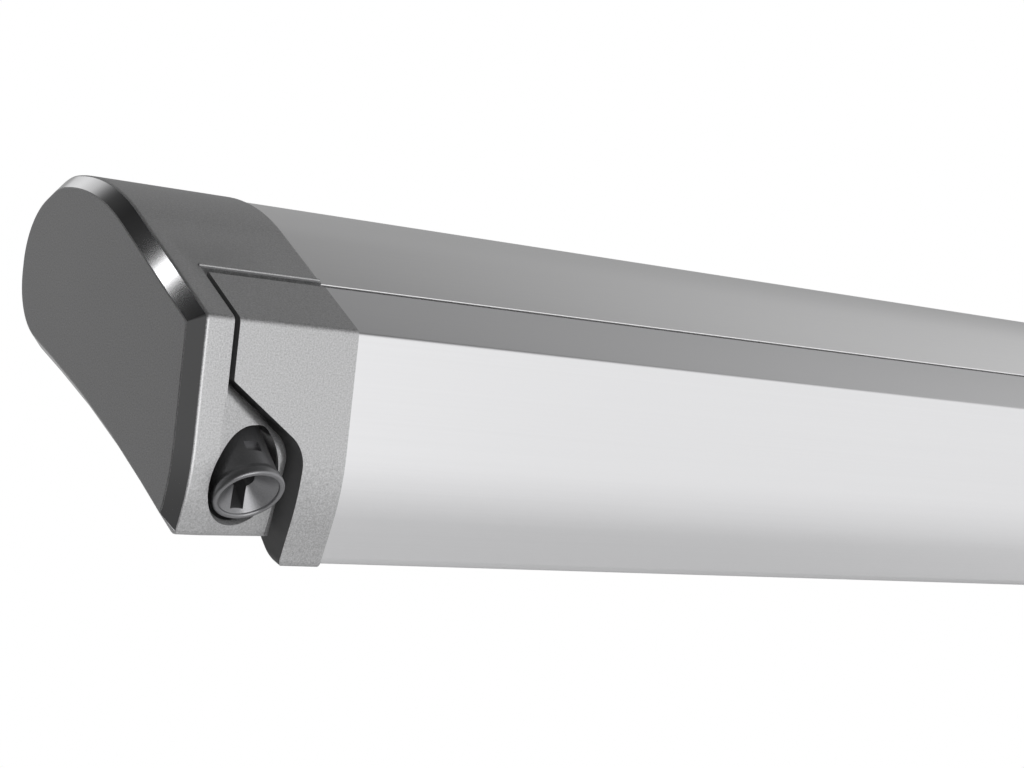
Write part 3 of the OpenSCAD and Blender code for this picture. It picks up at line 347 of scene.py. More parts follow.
# %% Lead rail corners
seam_run, rail_rear_z, recess_y, recess_drop, lead_cap_cut = 47.5, 30.0, -66.0, 18.0, (16.5, 15.0)
seam = (crease[0] + seam_run * roof_dir[0], crease[1] + seam_run * roof_dir[1])
lead_low = (bend[0] + (bend_z - lead_bottom_z) * math.tan(lean), lead_bottom_z)


def along_roof(run):
    return (seam[0] + run * roof_dir[0], seam[1] + run * roof_dir[1])


lead_top, lead_cap_top = along_roof(-seam_gap / 2), along_roof(seam_gap / 2 - cap_gap)
recess_top = (recess_y, lead_top[1] - recess_drop)
lead_corners = [lead_low, (-lead_rear_y, lead_bottom_z), (-lead_rear_y, rail_rear_z), lead_top, crease, bend]
recess_corners = [lead_low, (recess_y, lead_bottom_z), recess_top, lead_cap_top, crease, bend]
lead_cap_corners = [lead_low, (recess_y - lead_cap_cut[0], lead_bottom_z),
                    (recess_y, lead_bottom_z + lead_cap_cut[1]), recess_top, lead_cap_top, crease, bend]
lead_radii = [7, 2, 2, 1.5, edge_r, front_r]
lead_cap_radii = [4, 3, 2, 2, 1.5, edge_r, front_r]
print("crease, seam and lowest front corner:", crease, [round(c, 1) for c in seam], lead_low)

# %% Rounded outlines
fine_from_r, coarse_step, least_r = 3, 15, 0.6


def arc(centre, radius, angles):
    return [(centre[0] + radius * math.cos(a), centre[1] + radius * math.sin(a)) for a in angles]


def rounded(corners, radii, inset=0.0, step=2.5):
    """The outline moved inwards by inset, with an arc at each corner; step is in degrees."""
    points, ways, count = [], [], len(corners)
    for i in range(count):
        p, q = corners[i], corners[(i + 1) % count]
        size = math.hypot(q[0] - p[0], q[1] - p[1])
        ways.append(((q[0] - p[0]) / size, (q[1] - p[1]) / size))
    for i in range(count):
        u, w = ways[i - 1], ways[i]
        corner = meet((corners[i][0] - inset * u[1], corners[i][1] + inset * u[0]), u,
                      (corners[i][0] - inset * w[1], corners[i][1] + inset * w[0]), w)
        turn = math.atan2(u[0] * w[1] - u[1] * w[0], u[0] * w[0] + u[1] * w[1])
        side = 1 if turn > 0 else -1
        r = max(radii[i] - side * inset, least_r)
        back = r * math.tan(abs(turn) / 2)
        centre = (corner[0] - u[0] * back - side * r * u[1], corner[1] - u[1] * back + side * r * u[0])
        steps = max(2, round(abs(math.degrees(turn)) / (step if radii[i] > fine_from_r else coarse_step)))
        for k in range(steps + 1):
            a = turn * k / steps
            points.append((centre[0] + side * r * (u[1] * math.cos(a) + u[0] * math.sin(a)),
                           centre[1] + side * r * (-u[0] * math.cos(a) + u[1] * math.sin(a))))
    return points


print("points in the cap outline:", len(rounded(cap_corners, cap_radii)))

# %% [markdown]
# ## Long profiles by Geometry Nodes
#
# An extrusion is a rule: one section, pushed along a straight line. A small Geometry Nodes tree
# says exactly that, with the start and the length as named inputs. The section is a flat face;
# the tree extrudes it, closes the far end, turns it along X and sets the material.

# %% Extrusion tree
def laid_along_x(tree, shape, given, out):
    """Turns a shape's z axis along x, paints it and sends it to the output."""
    turn = tree.nodes.new("GeometryNodeTransform")
    turn.inputs["Rotation"].default_value = (math.pi / 2, 0, math.pi / 2)
    real = tree.nodes.new("GeometryNodeRealizeInstances")
    paint = tree.nodes.new("GeometryNodeSetMaterial")
    for source, target in ((shape, turn.inputs["Geometry"]), (turn.outputs["Geometry"], real.inputs[0]),
                           (real.outputs[0], paint.inputs["Geometry"]),
                           (given.outputs["Finish"], paint.inputs["Material"]),
                           (paint.outputs["Geometry"], out.inputs[0])):
        tree.links.new(source, target)
    return turn


def make_extrusion_tree():
    tree, given, out = new_group(
        "extrude_section", [("Section", "Geometry", None), ("Start", "Float", 0.0), ("Length", "Float", 0.0),
                            ("Finish", "Material", None)], [("Profile", "Geometry")], "GeometryNodeTree")
    link = tree.links.new
    push = tree.nodes.new("ShaderNodeCombineXYZ")
    link(given.outputs["Length"], push.inputs["Z"])
    extrude = add_node(tree, "GeometryNodeExtrudeMesh", mode="FACES")
    extrude.inputs["Individual"].default_value = False
    link(given.outputs["Section"], extrude.inputs["Mesh"])
    link(push.outputs[0], extrude.inputs["Offset"])
    flip = tree.nodes.new("GeometryNodeFlipFaces")
    link(given.outputs["Section"], flip.inputs["Mesh"])
    join = tree.nodes.new("GeometryNodeJoinGeometry")
    link(extrude.outputs["Mesh"], join.inputs[0])
    link(flip.outputs["Mesh"], join.inputs[0])
    weld = tree.nodes.new("GeometryNodeMergeByDistance")
    weld.inputs["Distance"].default_value = 1e-6
    link(join.outputs[0], weld.inputs["Geometry"])
    place = tree.nodes.new("ShaderNodeCombineXYZ")
    link(given.outputs["Start"], place.inputs["X"])
    turn = laid_along_x(tree, weld.outputs["Geometry"], given, out)
    link(place.outputs[0], turn.inputs["Translation"])
    return tree


extrusion_tree = make_extrusion_tree()


def set_inputs(modifier, **values):
    for item in modifier.node_group.interface.items_tree:
        if item.in_out == "INPUT" and item.name in values:
            modifier[item.identifier] = values[item.name]


def baked(name, source):
    """The evaluated mesh of source, in a plain new object; source is removed."""
    shape = bpy.data.meshes.new_from_object(source.evaluated_get(bpy.context.evaluated_depsgraph_get()))
    shape.name = name
    bpy.data.objects.remove(source)
    return placed(name, shape)


def flat_section(name, outlines):
    section = bpy.data.meshes.new(name)
    points = [(y * MM, z * MM, 0.0) for outline in outlines for y, z in outline]
    faces, first = [], 0
    for outline in outlines:
        faces.append(list(range(first, first + len(outline))))
        first += len(outline)
    section.from_pydata(points, [], faces)
    return placed(name, section)


def extruded(name, outlines, x0, x1, material):
    source = flat_section(name + "_section", outlines)
    modifier = source.modifiers.new("extrude", "NODES")
    modifier.node_group = extrusion_tree
    set_inputs(modifier, Start=x0 * MM, Length=(x1 - x0) * MM, Finish=material)
    return baked(name, source)


def smooth(piece, angle=24.0):
    piece.data.polygons.foreach_set("use_smooth", [True] * len(piece.data.polygons))
    piece.data.set_sharp_from_angle(angle=math.radians(angle))
    return piece


def weighted(piece):
    """Lets large flat faces keep their own normal beside small rounded edges."""
    modifier = piece.modifiers.new("weigh", "WEIGHTED_NORMAL")
    modifier.keep_sharp, modifier.weight = True, 80
    name = piece.name
    piece.name = name + "_plain"
    return baked(name, piece)


print("extrusion tree inputs:", [i.name for i in extrusion_tree.interface.items_tree if i.in_out == "INPUT"])

# %% [markdown]
# ## The case and the lead rail
#
# The case is a shell that is open at the front: its outline runs from the lip under the lead rail
# round the back and over the roof to the seam, and returns along the inside. The lead rail closes
# that opening with a front skin and a roof strip, and carries a shelf for the arms, two lanes for
# the legs and a round groove for the fabric's edge.

# %% Path helpers
def between(p, q, test):
    t = test(p) / (test(p) - test(q))
    return (p[0] + (q[0] - p[0]) * t, p[1] + (q[1] - p[1]) * t)


def clipped(outline, keep):
    """The part of a closed outline where keep is positive."""
    result = []
    for p, q in zip(outline, outline[1:] + outline[:1]):
        if keep(p) >= 0:
            result.append(p)
        if keep(p) * keep(q) < 0:
            result.append(between(p, q, keep))
    return result


def open_run(outline, first, last):
    """The part of a closed outline from where first turns positive to where last does."""
    count = len(outline)
    start = next(i for i in range(count) if first(outline[i]) <= 0 < first(outline[(i + 1) % count]))
    path = [between(outline[start], outline[(start + 1) % count], first)]
    for k in range(start + 1, start + count):
        p, q = outline[k % count], outline[(k + 1) % count]
        path.append(p)
        if last(p) <= 0 < last(q):
            return path + [between(p, q, last)]


lip_y = -lead_rear_y + 3.5
edge_run, nose_r = 0.05, 0.6


def shell_path(inset, rise, reach):
    """One face of the shell, from the lip over the back to the roof's front edge."""
    def height(p):
        return p[1] * math.cos(tilt) - p[0] * math.sin(tilt) - rise

    closed = clipped(rounded(cap_corners, cap_radii, inset), height)
    return open_run(closed, lambda p: p[0] - lip_y if height(p) < 5 else -1.0,
                    lambda p: reach - (p[0] - seam[0]) * roof_dir[0] - (p[1] - seam[1]) * roof_dir[1]
                    if p[1] > 30 else -1.0)


def roof_nose(radius, steps=6):
    """Rounded front edge of the case's roof."""
    corner = along_roof(edge_run + radius)
    deep = cap_proud + radius
    centre = (corner[0] + roof_dir[1] * deep, corner[1] - roof_dir[0] * deep)
    return arc(centre, radius, [math.radians(120 + 90 * k / steps) for k in range(1, steps + 1)])


case_outline = shell_path(cap_proud, 0.0, edge_run + nose_r) + roof_nose(nose_r) + \
    shell_path(cap_proud + case_wall, case_wall, edge_run)[::-1]
print("case outline:", len(case_outline), "points, from", [round(c, 1) for c in case_outline[0]])

# %% Solid helpers
def prism(name, outline, x0, x1):
    return extruded(name, [outline], x0, x1, cap_grey)


def mesh_piece(name, points, faces, material):
    """A new object; its points are in millimetres and its normals face outwards."""
    mesh = bpy.data.meshes.new(name)
    mesh.from_pydata([tuple(c * MM for c in point) for point in points], [], faces)
    mesh.materials.append(material)
    work = bmesh.new()
    work.from_mesh(mesh)
    bmesh.ops.remove_doubles(work, verts=work.verts, dist=1e-7)
    bmesh.ops.recalc_face_normals(work, faces=work.faces)
    work.to_mesh(mesh)
    work.free()
    return placed(name, mesh)


def loft(name, rings):
    """Closed skin through rings of points, each ring a list of x, y, z in millimetres."""
    count = len(rings[0])
    faces = [list(range(count))[::-1], [(len(rings) - 1) * count + i for i in range(count)]]
    for k in range(len(rings) - 1):
        for i in range(count):
            j = (i + 1) % count
            faces.append([k * count + i, k * count + j, (k + 1) * count + j, (k + 1) * count + i])
    return mesh_piece(name, [point for ring_points in rings for point in ring_points], faces, cap_grey)


print("solid helpers: prism and loft, in millimetres")

# %% Cutting helpers
def cut(target, tool, operation="DIFFERENCE"):
    modifier = target.modifiers.new("cut", "BOOLEAN")
    modifier.operation, modifier.solver, modifier.object = operation, "EXACT", tool
    name = target.name
    target.name = name + "_before"
    result = baked(name, target)
    bpy.data.objects.remove(tool)
    return result


sweep_reach = 280.0


def swept(name, outline):
    """An outline of x from the end face and height, pushed along the lead rail's way out."""
    return loft(name, [[(-half_len + x, -depth * math.cos(pitch) - h * math.sin(pitch),
                         -depth * math.sin(pitch) + h * math.cos(pitch)) for x, h in outline]
                       for depth in (-sweep_reach, sweep_reach)])


def soft_edges(piece, width, angle=40.0):
    modifier = piece.modifiers.new("soften", "BEVEL")
    modifier.width, modifier.segments = width * MM, 2
    modifier.limit_method, modifier.angle_limit = "ANGLE", math.radians(angle)
    modifier.use_clamp_overlap, modifier.harden_normals = True, False
    name = piece.name
    piece.name = name + "_sharp"
    return baked(name, piece)


def round_bar(name, radius, low, high, place, segments=96):
    """Round bar along the z axis of the frame place, for cutting."""
    mesh = bpy.data.meshes.new(name)
    work = bmesh.new()
    middle = place @ Matrix.Translation((0, 0, (low + high) / 2 * MM))
    bmesh.ops.create_cone(work, cap_ends=True, segments=segments, radius1=radius * MM, radius2=radius * MM,
                          depth=(high - low) * MM, matrix=middle)
    work.to_mesh(mesh)
    work.free()
    mesh.materials.append(cap_grey)
    return placed(name, mesh)


print("cutting helpers: cut, swept, soft_edges and round_bar")

# %% Case profile
insert_r, insert_y, insert_xs = 5.65, 24, (-1000, -400, 400, 1000)
# The case uses the lighter copy of the aluminium, painted light for its roof.
case_shell = extruded("case_shell", [case_outline], -case_end_x, case_end_x, case_aluminium_painted_light)
for x in insert_xs:
    seat = Matrix.Rotation(tilt, 4, "X") @ Matrix.Translation(Vector((x, insert_y, 0)) * MM)
    case_shell = cut(case_shell, round_bar("insert_hole", insert_r, -5.0, 15.0, seat, 48))
smooth(case_shell)
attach(case_shell, "case")
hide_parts("case_profile")
print("case shell:", len(case_shell.data.polygons), "faces")

# %% Lead rail
lane_front_y, lane_mid_y, lane_rear_y, lane_wall, lane_h = -84.5, -67.0, -47.7, 1.6, 25
shelf_front_y, lane_roof_y, skin_top_z = -99.2, -94.0, 66.25
keder, keder_r, keder_bore_r, hanger_half, hanger_sink = (-55.5, 57.0), 6.5, 4.3, 1.1, 2.6


def strip(x, y, w, h):
    return [(x, y), (x + w, y), (x + w, y + h), (x, y + h)]


def lead_skin():
    """The roof strip and the front, from behind the seam down to the first leg lane."""
    paths = [open_run(rounded(lead_corners, lead_radii, inset),
                      lambda p: p[1] - skin_top_z if p[0] > -75 else -1.0,
                      lambda p: p[0] - lane_front_y if p[1] < -50 else -1.0)
             for inset in (cap_proud, cap_proud + lead_wall)]
    return paths[0] + paths[1][::-1]


groove_turns = [pitch + math.radians(20 + 10 * k) for k in range(33)]
groove = arc(keder, keder_r, groove_turns) + arc(keder, keder_bore_r, groove_turns[::-1])
hanger_top = along_roof(-seam_gap / 2 - hanger_sink)
hanger_top = (hanger_top[0] + hanger_sink * roof_dir[1], hanger_top[1] - hanger_sink * roof_dir[0])
hanger_low = keder[1] + 5.4
hanger = [(keder[0] - hanger_half, hanger_low), (keder[0] + hanger_half, hanger_low),
          (hanger_top[0] + hanger_half, hanger_top[1]), (hanger_top[0] - hanger_half, hanger_top[1])]
lane_low = lead_bottom_z + cap_proud
lane_top, rear_end_y = lane_low + lane_h, lane_rear_y + lead_wall
rail_sections = [
    lead_skin(), groove, hanger,
    strip(shelf_front_y, shelf_z - lead_wall, rear_end_y - shelf_front_y, lead_wall),
    strip(lane_roof_y, lane_top, rear_end_y - lane_roof_y, lead_wall),
    strip(lane_mid_y, lane_low, lane_wall, lane_top - lane_low),
    strip(lane_rear_y, lane_low, lead_wall, shelf_z - lane_low)]
lead_front = smooth(extruded("lead_front", rail_sections, -cap_end_x, cap_end_x, satin_aluminium))
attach(lead_front, "lead")
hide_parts("lead_rail")
print("lead rail:", len(lead_front.data.polygons), "faces")

# %% [markdown]
# ## Moulded caps
#
# The end cap is a deep shell. Its outside is lofted from one outline at several depths, which
# gives the bevel round the end face and the soft inner edge in one go. The recess for the lead
# cap, the slanted block with the crank opening and the hollow inside are cut and joined with
# booleans, because they are plain prisms that meet at odd angles. The block's front edges are
# rounded by a lofted tool, since a bevel modifier fails where so many edges meet.

# %% End cap outside
def end_cap_loft():
    """The cap's skin through outlines at a depth from the end face, each moved inwards."""
    rings_at = [(0.0, cap_bevel + 0.9), (0.12, cap_bevel + 0.45), (0.35, cap_bevel - 0.15),
                (cap_bevel - 0.9, 0.75), (cap_bevel - 0.25, 0.22), (cap_bevel + 0.7, 0.0),
                (cap_len - 1.6, 0.0), (cap_len - 0.75, 0.2), (cap_len - 0.2, 0.75), (cap_len, 1.35)]
    return loft("left_cap_skin", [
        [(-half_len + x, y, z) for y, z in rounded(cap_corners, cap_radii, inset)] for x, inset in rings_at])


notch_z, slant, crank_yaw = 27.0, math.radians(34), math.radians(10)
slant_w = front_y * math.sin(pitch) + notch_z * math.cos(pitch)


def slant_height(x, drop):
    return slant_w - drop / math.cos(slant) - (x - strip_w - cap_gap) * math.tan(slant)


crank_turn = Matrix.Translation(Vector((-half_len + strip_w, -front_y, 0))) @ \
    Matrix.Rotation(crank_yaw, 4, "Z") @ Matrix.Translation(Vector((0, front_y, 0)))
print("the slant starts at height", round(slant_height(strip_w + cap_gap, 0), 1))

# %% Crank block and sweeps
block_bottom, block_r, lead_cap_foot, sweep_top = -205.0, 15, -38.6, 250.0


def crank_prism(name, inset, rear):
    outline = clipped(rounded(cap_corners, cap_radii, inset), lambda p: rear + recess_y - p[0])
    block = prism(name, outline, -40.0, crank_w)
    block.data.transform(Matrix.Scale(MM, 4) @ crank_turn @ Matrix.Scale(1 / MM, 4))
    return block


def crank_outline(inset):
    x0 = strip_w - 30
    corners = [(x0, block_bottom), (crank_w, block_bottom), (crank_w, slant_height(crank_w, cap_gap)),
               (x0, slant_height(x0, cap_gap))]
    return rounded(corners, [0, 0, block_r, 0], inset)


def lead_sweep(name, inset):
    x0, x1, x2 = strip_w + cap_gap, crank_w + cap_gap, cap_len + 40
    corners = [(x1, lead_cap_foot), (x2, lead_cap_foot), (x2, sweep_top), (x0, sweep_top),
               (x0, slant_height(x0, 0)), (x1, slant_height(x1, 0))]
    return swept(name, rounded(corners, [5, 0, 0, 0, 2, block_r + cap_gap], inset, 6))


def block_box(name, x0, x1):
    return prism(name, strip(-400, -400, 800, 800), -half_len + x0, -half_len + x1)


print("points in the crank block's outline:", len(crank_outline(0.0)))

# %% Rounded crank block
travel = Vector((0, -math.cos(pitch), -math.sin(pitch)))
upright = Vector((0, -math.sin(pitch), math.cos(pitch)))


def on_front(x, h, inset):
    """The point on the crank block's front that lies on the line of travel through x and h."""
    turn_back = crank_turn.inverted()
    way = turn_back.to_3x3() @ travel
    outline = rounded(cap_corners, cap_radii, inset)
    for rise in range(300):
        base = Vector((-half_len + x, 0, 0)) + upright * (h + rise)
        start = turn_back @ base
        reach = []
        for p, q in zip(outline, outline[1:] + outline[:1]):
            side = [(y - start.y) * way.z - (z - start.z) * way.y for y, z in (p, q)]
            if side[0] * side[1] < 0:
                y, z = between((p[0], p[1], side[0]), (q[0], q[1], side[1]), lambda end: end[2])
                ahead = (y - start.y) * way.y + (z - start.z) * way.z
                reach.append(ahead / (way.y ** 2 + way.z ** 2))
        if reach:
            return base - upright * rise + travel * max(reach)


def rounded_sweep(name, radius, steps=8):
    """The block's sides along the way out, rounded over where they meet its front."""
    rings = [[Vector((-half_len + x, 0, 0)) + upright * h - travel * sweep_reach
              for x, h in crank_outline(0.0)]]
    for k in range(steps + 1):
        angle = math.pi / 2 * k / steps
        side, deep = radius * (1 - math.cos(angle)), radius * (1 - math.sin(angle)) - 0.02
        rings.append([on_front(x, h, deep) for x, h in crank_outline(side)])
    rings.append([point + travel * 40 for point in rings[-1]])
    return loft(name, rings)


crank_spot, crank_lean = Vector((-half_len + 37.8, -front_y + 2.7, bend_z)), math.radians(-45)
crank_place = Matrix.Translation(crank_spot * MM) @ Matrix.Rotation(crank_lean, 4, "X")
print("crank axis points to", [round(c, 3) for c in crank_place.to_3x3() @ Vector((0, 0, 1))])

# %% End caps
block_edge_r, block_rear, inside_rear, lap_inset = 6.0, 6.0, 23.0, 1.36
bead_r, bead_run, bead_sink = 1.0, 0.9, 0.35
crank_hole_r, shaft_hole_r = 20.0, 6.0


def cap_bead():
    """The thin round bead along the seam on the cap's roof."""
    edge = along_roof(seam_gap / 2 + bead_run)
    centre = (edge[0] + bead_sink * roof_dir[1], edge[1] - bead_sink * roof_dir[0])
    outline = arc(centre, bead_r, [math.radians(22.5 * k) for k in range(16)])
    return prism("bead", outline, -half_len + strip_w + 0.2, -cap_end_x - 0.6)


def end_cap():
    def section(inset):
        return rounded(cap_corners, cap_radii, inset)

    def recess(inset):
        return rounded(recess_corners, lead_radii, inset)

    cap = end_cap_loft()
    cap = cut(cap, prism("hollow", section(cap_wall), -half_len + cap_bevel + cap_wall, -case_end_x + 0.01))
    cap = cut(cap, prism("lap", section(lap_inset), -case_end_x, -cap_end_x + 1))
    wall = prism("wall", recess(-cap_gap - cap_wall), -half_len + strip_w, -cap_end_x - 0.3)
    wall = cut(wall, prism("room", section(0.2), -half_len, -cap_end_x), "INTERSECT")
    cap = cut(cap, wall, "UNION")
    cap = cut(cap, prism("recess", recess(-cap_gap), -half_len + strip_w, -cap_end_x + 5))
    block = crank_prism("block", 0.0, block_rear)
    block = cut(block, rounded_sweep("block_sweep", block_edge_r), "INTERSECT")
    block = cut(block, block_box("block_box", strip_w - 0.5, crank_w), "INTERSECT")
    cap = cut(cut(cap, block, "UNION"), cap_bead(), "UNION")
    inside = crank_prism("inside", cap_wall, inside_rear)
    inside = cut(inside, swept("inside_sweep", crank_outline(cap_wall)), "INTERSECT")
    inside = cut(inside, block_box("inside_box", cap_bevel + cap_wall, crank_w - cap_wall), "INTERSECT")
    return cut(cap, inside)


left_cap = end_cap()
right_shape = left_cap.data.copy()
left_cap.name = "left_cap"
left_cap = cut(left_cap, round_bar("crank_hole", crank_hole_r, -60.0, 41.0, crank_place))
left_cap = cut(left_cap, round_bar("shaft_hole", shaft_hole_r, 0.0, 92.0, crank_place))
print("left cap:", len(left_cap.data.polygons), "faces")

# %% [markdown]
# The edges that a hand would feel are broken a little, and the bevel round the end face gets its
# polished finish. The right cap is the left one mirrored, without the crank opening. The lead caps
# close the ends of the lead rail; their inner flanks get a dark painted shade for the notch's shade.

# %% Cap finishing
bevel_depth = (half_len - cap_bevel - 0.4) * MM


def painted(cap, second, chosen):
    """Cap grey all over, with a second finish on the faces that chosen picks."""
    cap.data.materials.clear()
    cap.data.materials.append(cap_grey)
    cap.data.materials.append(second)
    for face in cap.data.polygons:
        face.material_index = 1 if chosen(face) else 0


def on_bevel(face):
    return -face.center.x > bevel_depth and 0.68 < -face.normal.x < 0.80


# Picks the lead cap's flanks that face the end; they get painted shade.
def on_shaded_flank(face):
    return face.normal.x < -0.5


def mirrored(name, shape):
    shape.transform(Matrix.Scale(-1, 4, (1, 0, 0)))
    shape.flip_normals()
    shape.name = name
    return placed(name, shape)


right_cap = placed("right_cap", right_shape)
left_cap, right_cap = soft_edges(left_cap, 0.45), soft_edges(right_cap, 0.45)
painted(left_cap, cap_bevel_polish, on_bevel)
painted(right_cap, cap_bevel_polish, on_bevel)
turned_shape = right_cap.data
bpy.data.objects.remove(right_cap)
left_cap = weighted(smooth(left_cap, 40))
right_cap = weighted(smooth(mirrored("right_cap", turned_shape), 40))
for cap, node in ((left_cap, "left_end_cap"), (right_cap, "right_end_cap")):
    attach(cap, "case")
    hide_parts(node)
    print(cap.name, len(cap.data.polygons), "faces")

# %% Lead caps
def lead_cap():
    end_x = -half_len + strip_w + cap_gap
    cap = prism("left_front_cap", rounded(lead_cap_corners, lead_cap_radii, 0.0), end_x, -cap_end_x)
    cap = cut(cap, lead_sweep("front_sweep", 0.0), "INTERSECT")
    room = prism("front_room", rounded(lead_cap_corners, lead_cap_radii, cap_wall), end_x + cap_wall,
                 -cap_end_x + 1)
    room = cut(room, lead_sweep("room_sweep", cap_wall), "INTERSECT")
    cap = soft_edges(cut(cap, room), 0.6)
    # The flanks get the dark painted shade of the notch.
    painted(cap, flank_painted_shade, on_shaded_flank)
    return cap


left_front_cap = lead_cap()
right_front_cap = weighted(smooth(mirrored("right_front_cap", left_front_cap.data.copy()), 40))
left_front_cap = weighted(smooth(left_front_cap, 40))
for cap, node in ((left_front_cap, "left_lead_cap"), (right_front_cap, "right_lead_cap")):
    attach(cap, "lead")
    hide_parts(node)
    print(cap.name, len(cap.data.polygons), "faces")

# %% [markdown]
# ## The winding bell
#
# The bell is turned on a lathe: a tapered barrel with a rounded rim, and a cone inside that leads
# the crank's hook to a slot. Three small windows are cut in its neck.

# %% Bell
def lathe(name, profile, material, segments=72):
    turns = [2 * math.pi * k / segments for k in range(segments)]
    points = [(r * math.cos(a), r * math.sin(a), z) for r, z in profile for a in turns]
    faces, rows = [], len(profile)
    for i in range(rows):
        for k in range(segments):
            near, far, beside = i * segments, ((i + 1) % rows) * segments, (k + 1) % segments
            faces.append([near + k, near + beside, far + beside, far + k])
    return mesh_piece(name, points, faces, material)


def bell_block(name, x0, x1, y0, y1, z0, z1, turn=0.0):
    obj = loft(name, [[(x, y, z) for x, y in strip(x0, y0, x1 - x0, y1 - y0)] for z in (z0, z1)])
    obj.data.transform(Matrix.Rotation(turn, 4, "Z"))
    return obj


mouth, neck, bell_len, funnel, rim_r, bell_out = 18.0, 16.4, 46.0, 10.5, 1.5, 7.4
slot_half, slot_deep, hook_r, hook_deep, window_half, window_h = 3.5, 24.3, 5.5, 27.5, 4, 6
rim = [(mouth - rim_r + rim_r * math.cos(a), rim_r - rim_r * math.sin(a)) for a in
       [math.radians(180 - 15 * k) for k in range(13)]]
flare = [(neck + 0.3 + (mouth - neck - 0.3) * (0.5 + 0.5 * math.cos(math.pi * k / 8)), 3.0 + 5.0 * k / 8)
         for k in range(9)]
barrel = [(neck, 11.0), (neck - 0.6, 24.0), (neck - 1.2, 36.8), (neck - 2.7, 41.0), (neck - 6, bell_len),
          (0.3, bell_len)]
inside = [(0.3, funnel), (5.0, funnel)]
bell = lathe("winding_bell", rim + flare + barrel + inside, bell_grey)
bell = cut(bell, bell_block("slot", -slot_half, slot_half, 0.0, mouth - 5, -1.0, slot_deep))
bell = cut(bell, round_bar("hook_hole", hook_r, -1.0, hook_deep, Matrix.Identity(4)))
for turn in (0, 180, 270):
    bell = cut(bell, bell_block("window", neck - 3, neck + 7, -window_half, window_half, bell_len / 3,
                                bell_len / 3 + window_h, math.radians(turn)))
bell.data.transform(crank_place @ Matrix.Translation((0, 0, -bell_out * MM)))
bell = weighted(smooth(soft_edges(bell, 0.3, 35), 40))
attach(bell, "crank")
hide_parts("crank_bell")
print("bell:", len(bell.data.polygons), "faces")

# %% [markdown]
# ## The fabric on the roller
#
# Cloth wound on a tube is a spiral, so a Geometry Nodes tree draws one and pushes it along the
# roller. The loose run to the lead rail is a second sheet that is stretched between the case and the hem.

# %% Wound cloth
def make_spiral_tree():
    tree, given, out = new_group(
        "wound_cloth", [("Base", "Geometry", None), ("Turns", "Float", 0.0), ("Inner", "Float", 0.0),
                        ("Outer", "Float", 0.0), ("Width", "Float", 0.0), ("Finish", "Material", None)],
        [("Cloth", "Geometry")], "GeometryNodeTree")
    link = tree.links.new
    spiral = tree.nodes.new("GeometryNodeCurveSpiral")
    spiral.inputs["Resolution"].default_value = 40
    spiral.inputs["Height"].default_value = 0.0
    for source, target in (("Turns", "Rotations"), ("Inner", "Start Radius"), ("Outer", "End Radius")):
        link(given.outputs[source], spiral.inputs[target])
    wire = tree.nodes.new("GeometryNodeCurveToMesh")
    link(spiral.outputs[0], wire.inputs["Curve"])
    push = tree.nodes.new("ShaderNodeCombineXYZ")
    link(given.outputs["Width"], push.inputs["Z"])
    spread = add_node(tree, "GeometryNodeExtrudeMesh", mode="EDGES")
    link(wire.outputs[0], spread.inputs["Mesh"])
    link(push.outputs[0], spread.inputs["Offset"])
    laid_along_x(tree, spread.outputs["Mesh"], given, out)
    return tree


roller_y, roller_z, cloth_x = 63.7, 76.47, 1195.0
turns, inner_r, outer_r = 11.4, 25.1, 30.9
blank = placed("wound_cloth_base", bpy.data.meshes.new("wound_cloth_base"))
winding = blank.modifiers.new("wind", "NODES")
winding.node_group = make_spiral_tree()
set_inputs(winding, Turns=turns, Inner=inner_r * MM, Outer=outer_r * MM, Width=2 * cloth_x * MM,
           Finish=striped_cloth)
wound_cloth = baked("wound_cloth", blank)
wound_cloth.data.transform(Matrix.Translation(Vector((-cloth_x, roller_y, roller_z)) * MM))
smooth(wound_cloth, 60)
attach(wound_cloth, "roller")
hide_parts("fabric_roll")

# %% Loose run and hem
roll_r, hem_rear, hem_front = 31.8, (-35.12, 62.46), (-50.57, 58.32)


def spaced(p, q, count):
    return [(p[0] + (q[0] - p[0]) * k / count, p[1] + (q[1] - p[1]) * k / count) for k in range(count + 1)]


def cloth_run(columns=24):
    """A grid from where the cloth leaves the roll to the hem's front, and that first point."""
    away = (roller_y - hem_rear[0], roller_z - hem_rear[1])
    angle = math.atan2(away[1], away[0]) + math.asin(roll_r / math.hypot(*away))
    run = math.sqrt(away[0] ** 2 + away[1] ** 2 - roll_r ** 2)
    tangent = (hem_rear[0] + run * math.cos(angle), hem_rear[1] + run * math.sin(angle))
    path = spaced(tangent, hem_rear, 40) + spaced(hem_rear, hem_front, 4)[1:]
    points = [((-cloth_x + 2 * cloth_x * c / columns) * MM, y * MM, z * MM) for y, z in path
              for c in range(columns + 1)]
    rows = [i * (columns + 1) for i in range(len(path))]
    faces = [[near + c, near + c + 1, far + c + 1, far + c] for near, far in zip(rows, rows[1:])
             for c in range(columns)]
    mesh = bpy.data.meshes.new("canopy_run")
    mesh.from_pydata(points, [], faces)
    mesh.materials.append(striped_cloth)
    return smooth(placed("canopy_run", mesh), 60), tangent


canopy_run, leaves_roll = cloth_run()
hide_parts("fabric_run", "fabric_hem")
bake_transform(canopy_run)

# %% [markdown]
# ## Finishes for the CAD pieces
#
# Arms, legs, brackets, pins and the drive keep their CAD shapes. Each slot of the record gets the
# finish that fits it.

# %% Dress the CAD nodes
by_slot = {"anodised_aluminium": satin_aluminium, "cap_plastic": cap_grey, "bell_plastic": bell_grey,
           "dark_plastic": black_plastic, "cast_aluminium": cast_alloy, "steel": zinc_steel,
           "pale_plastic": pale_plastic, "seal_rubber": rubber_black, "foot_rubber": rubber_black,
           "fabric": striped_cloth}
for entry in frame["record"]["subparts"]:
    for slot in frame["nodes"][entry["node"]].material_slots:
        slot.material = by_slot[entry["material_slot"]]

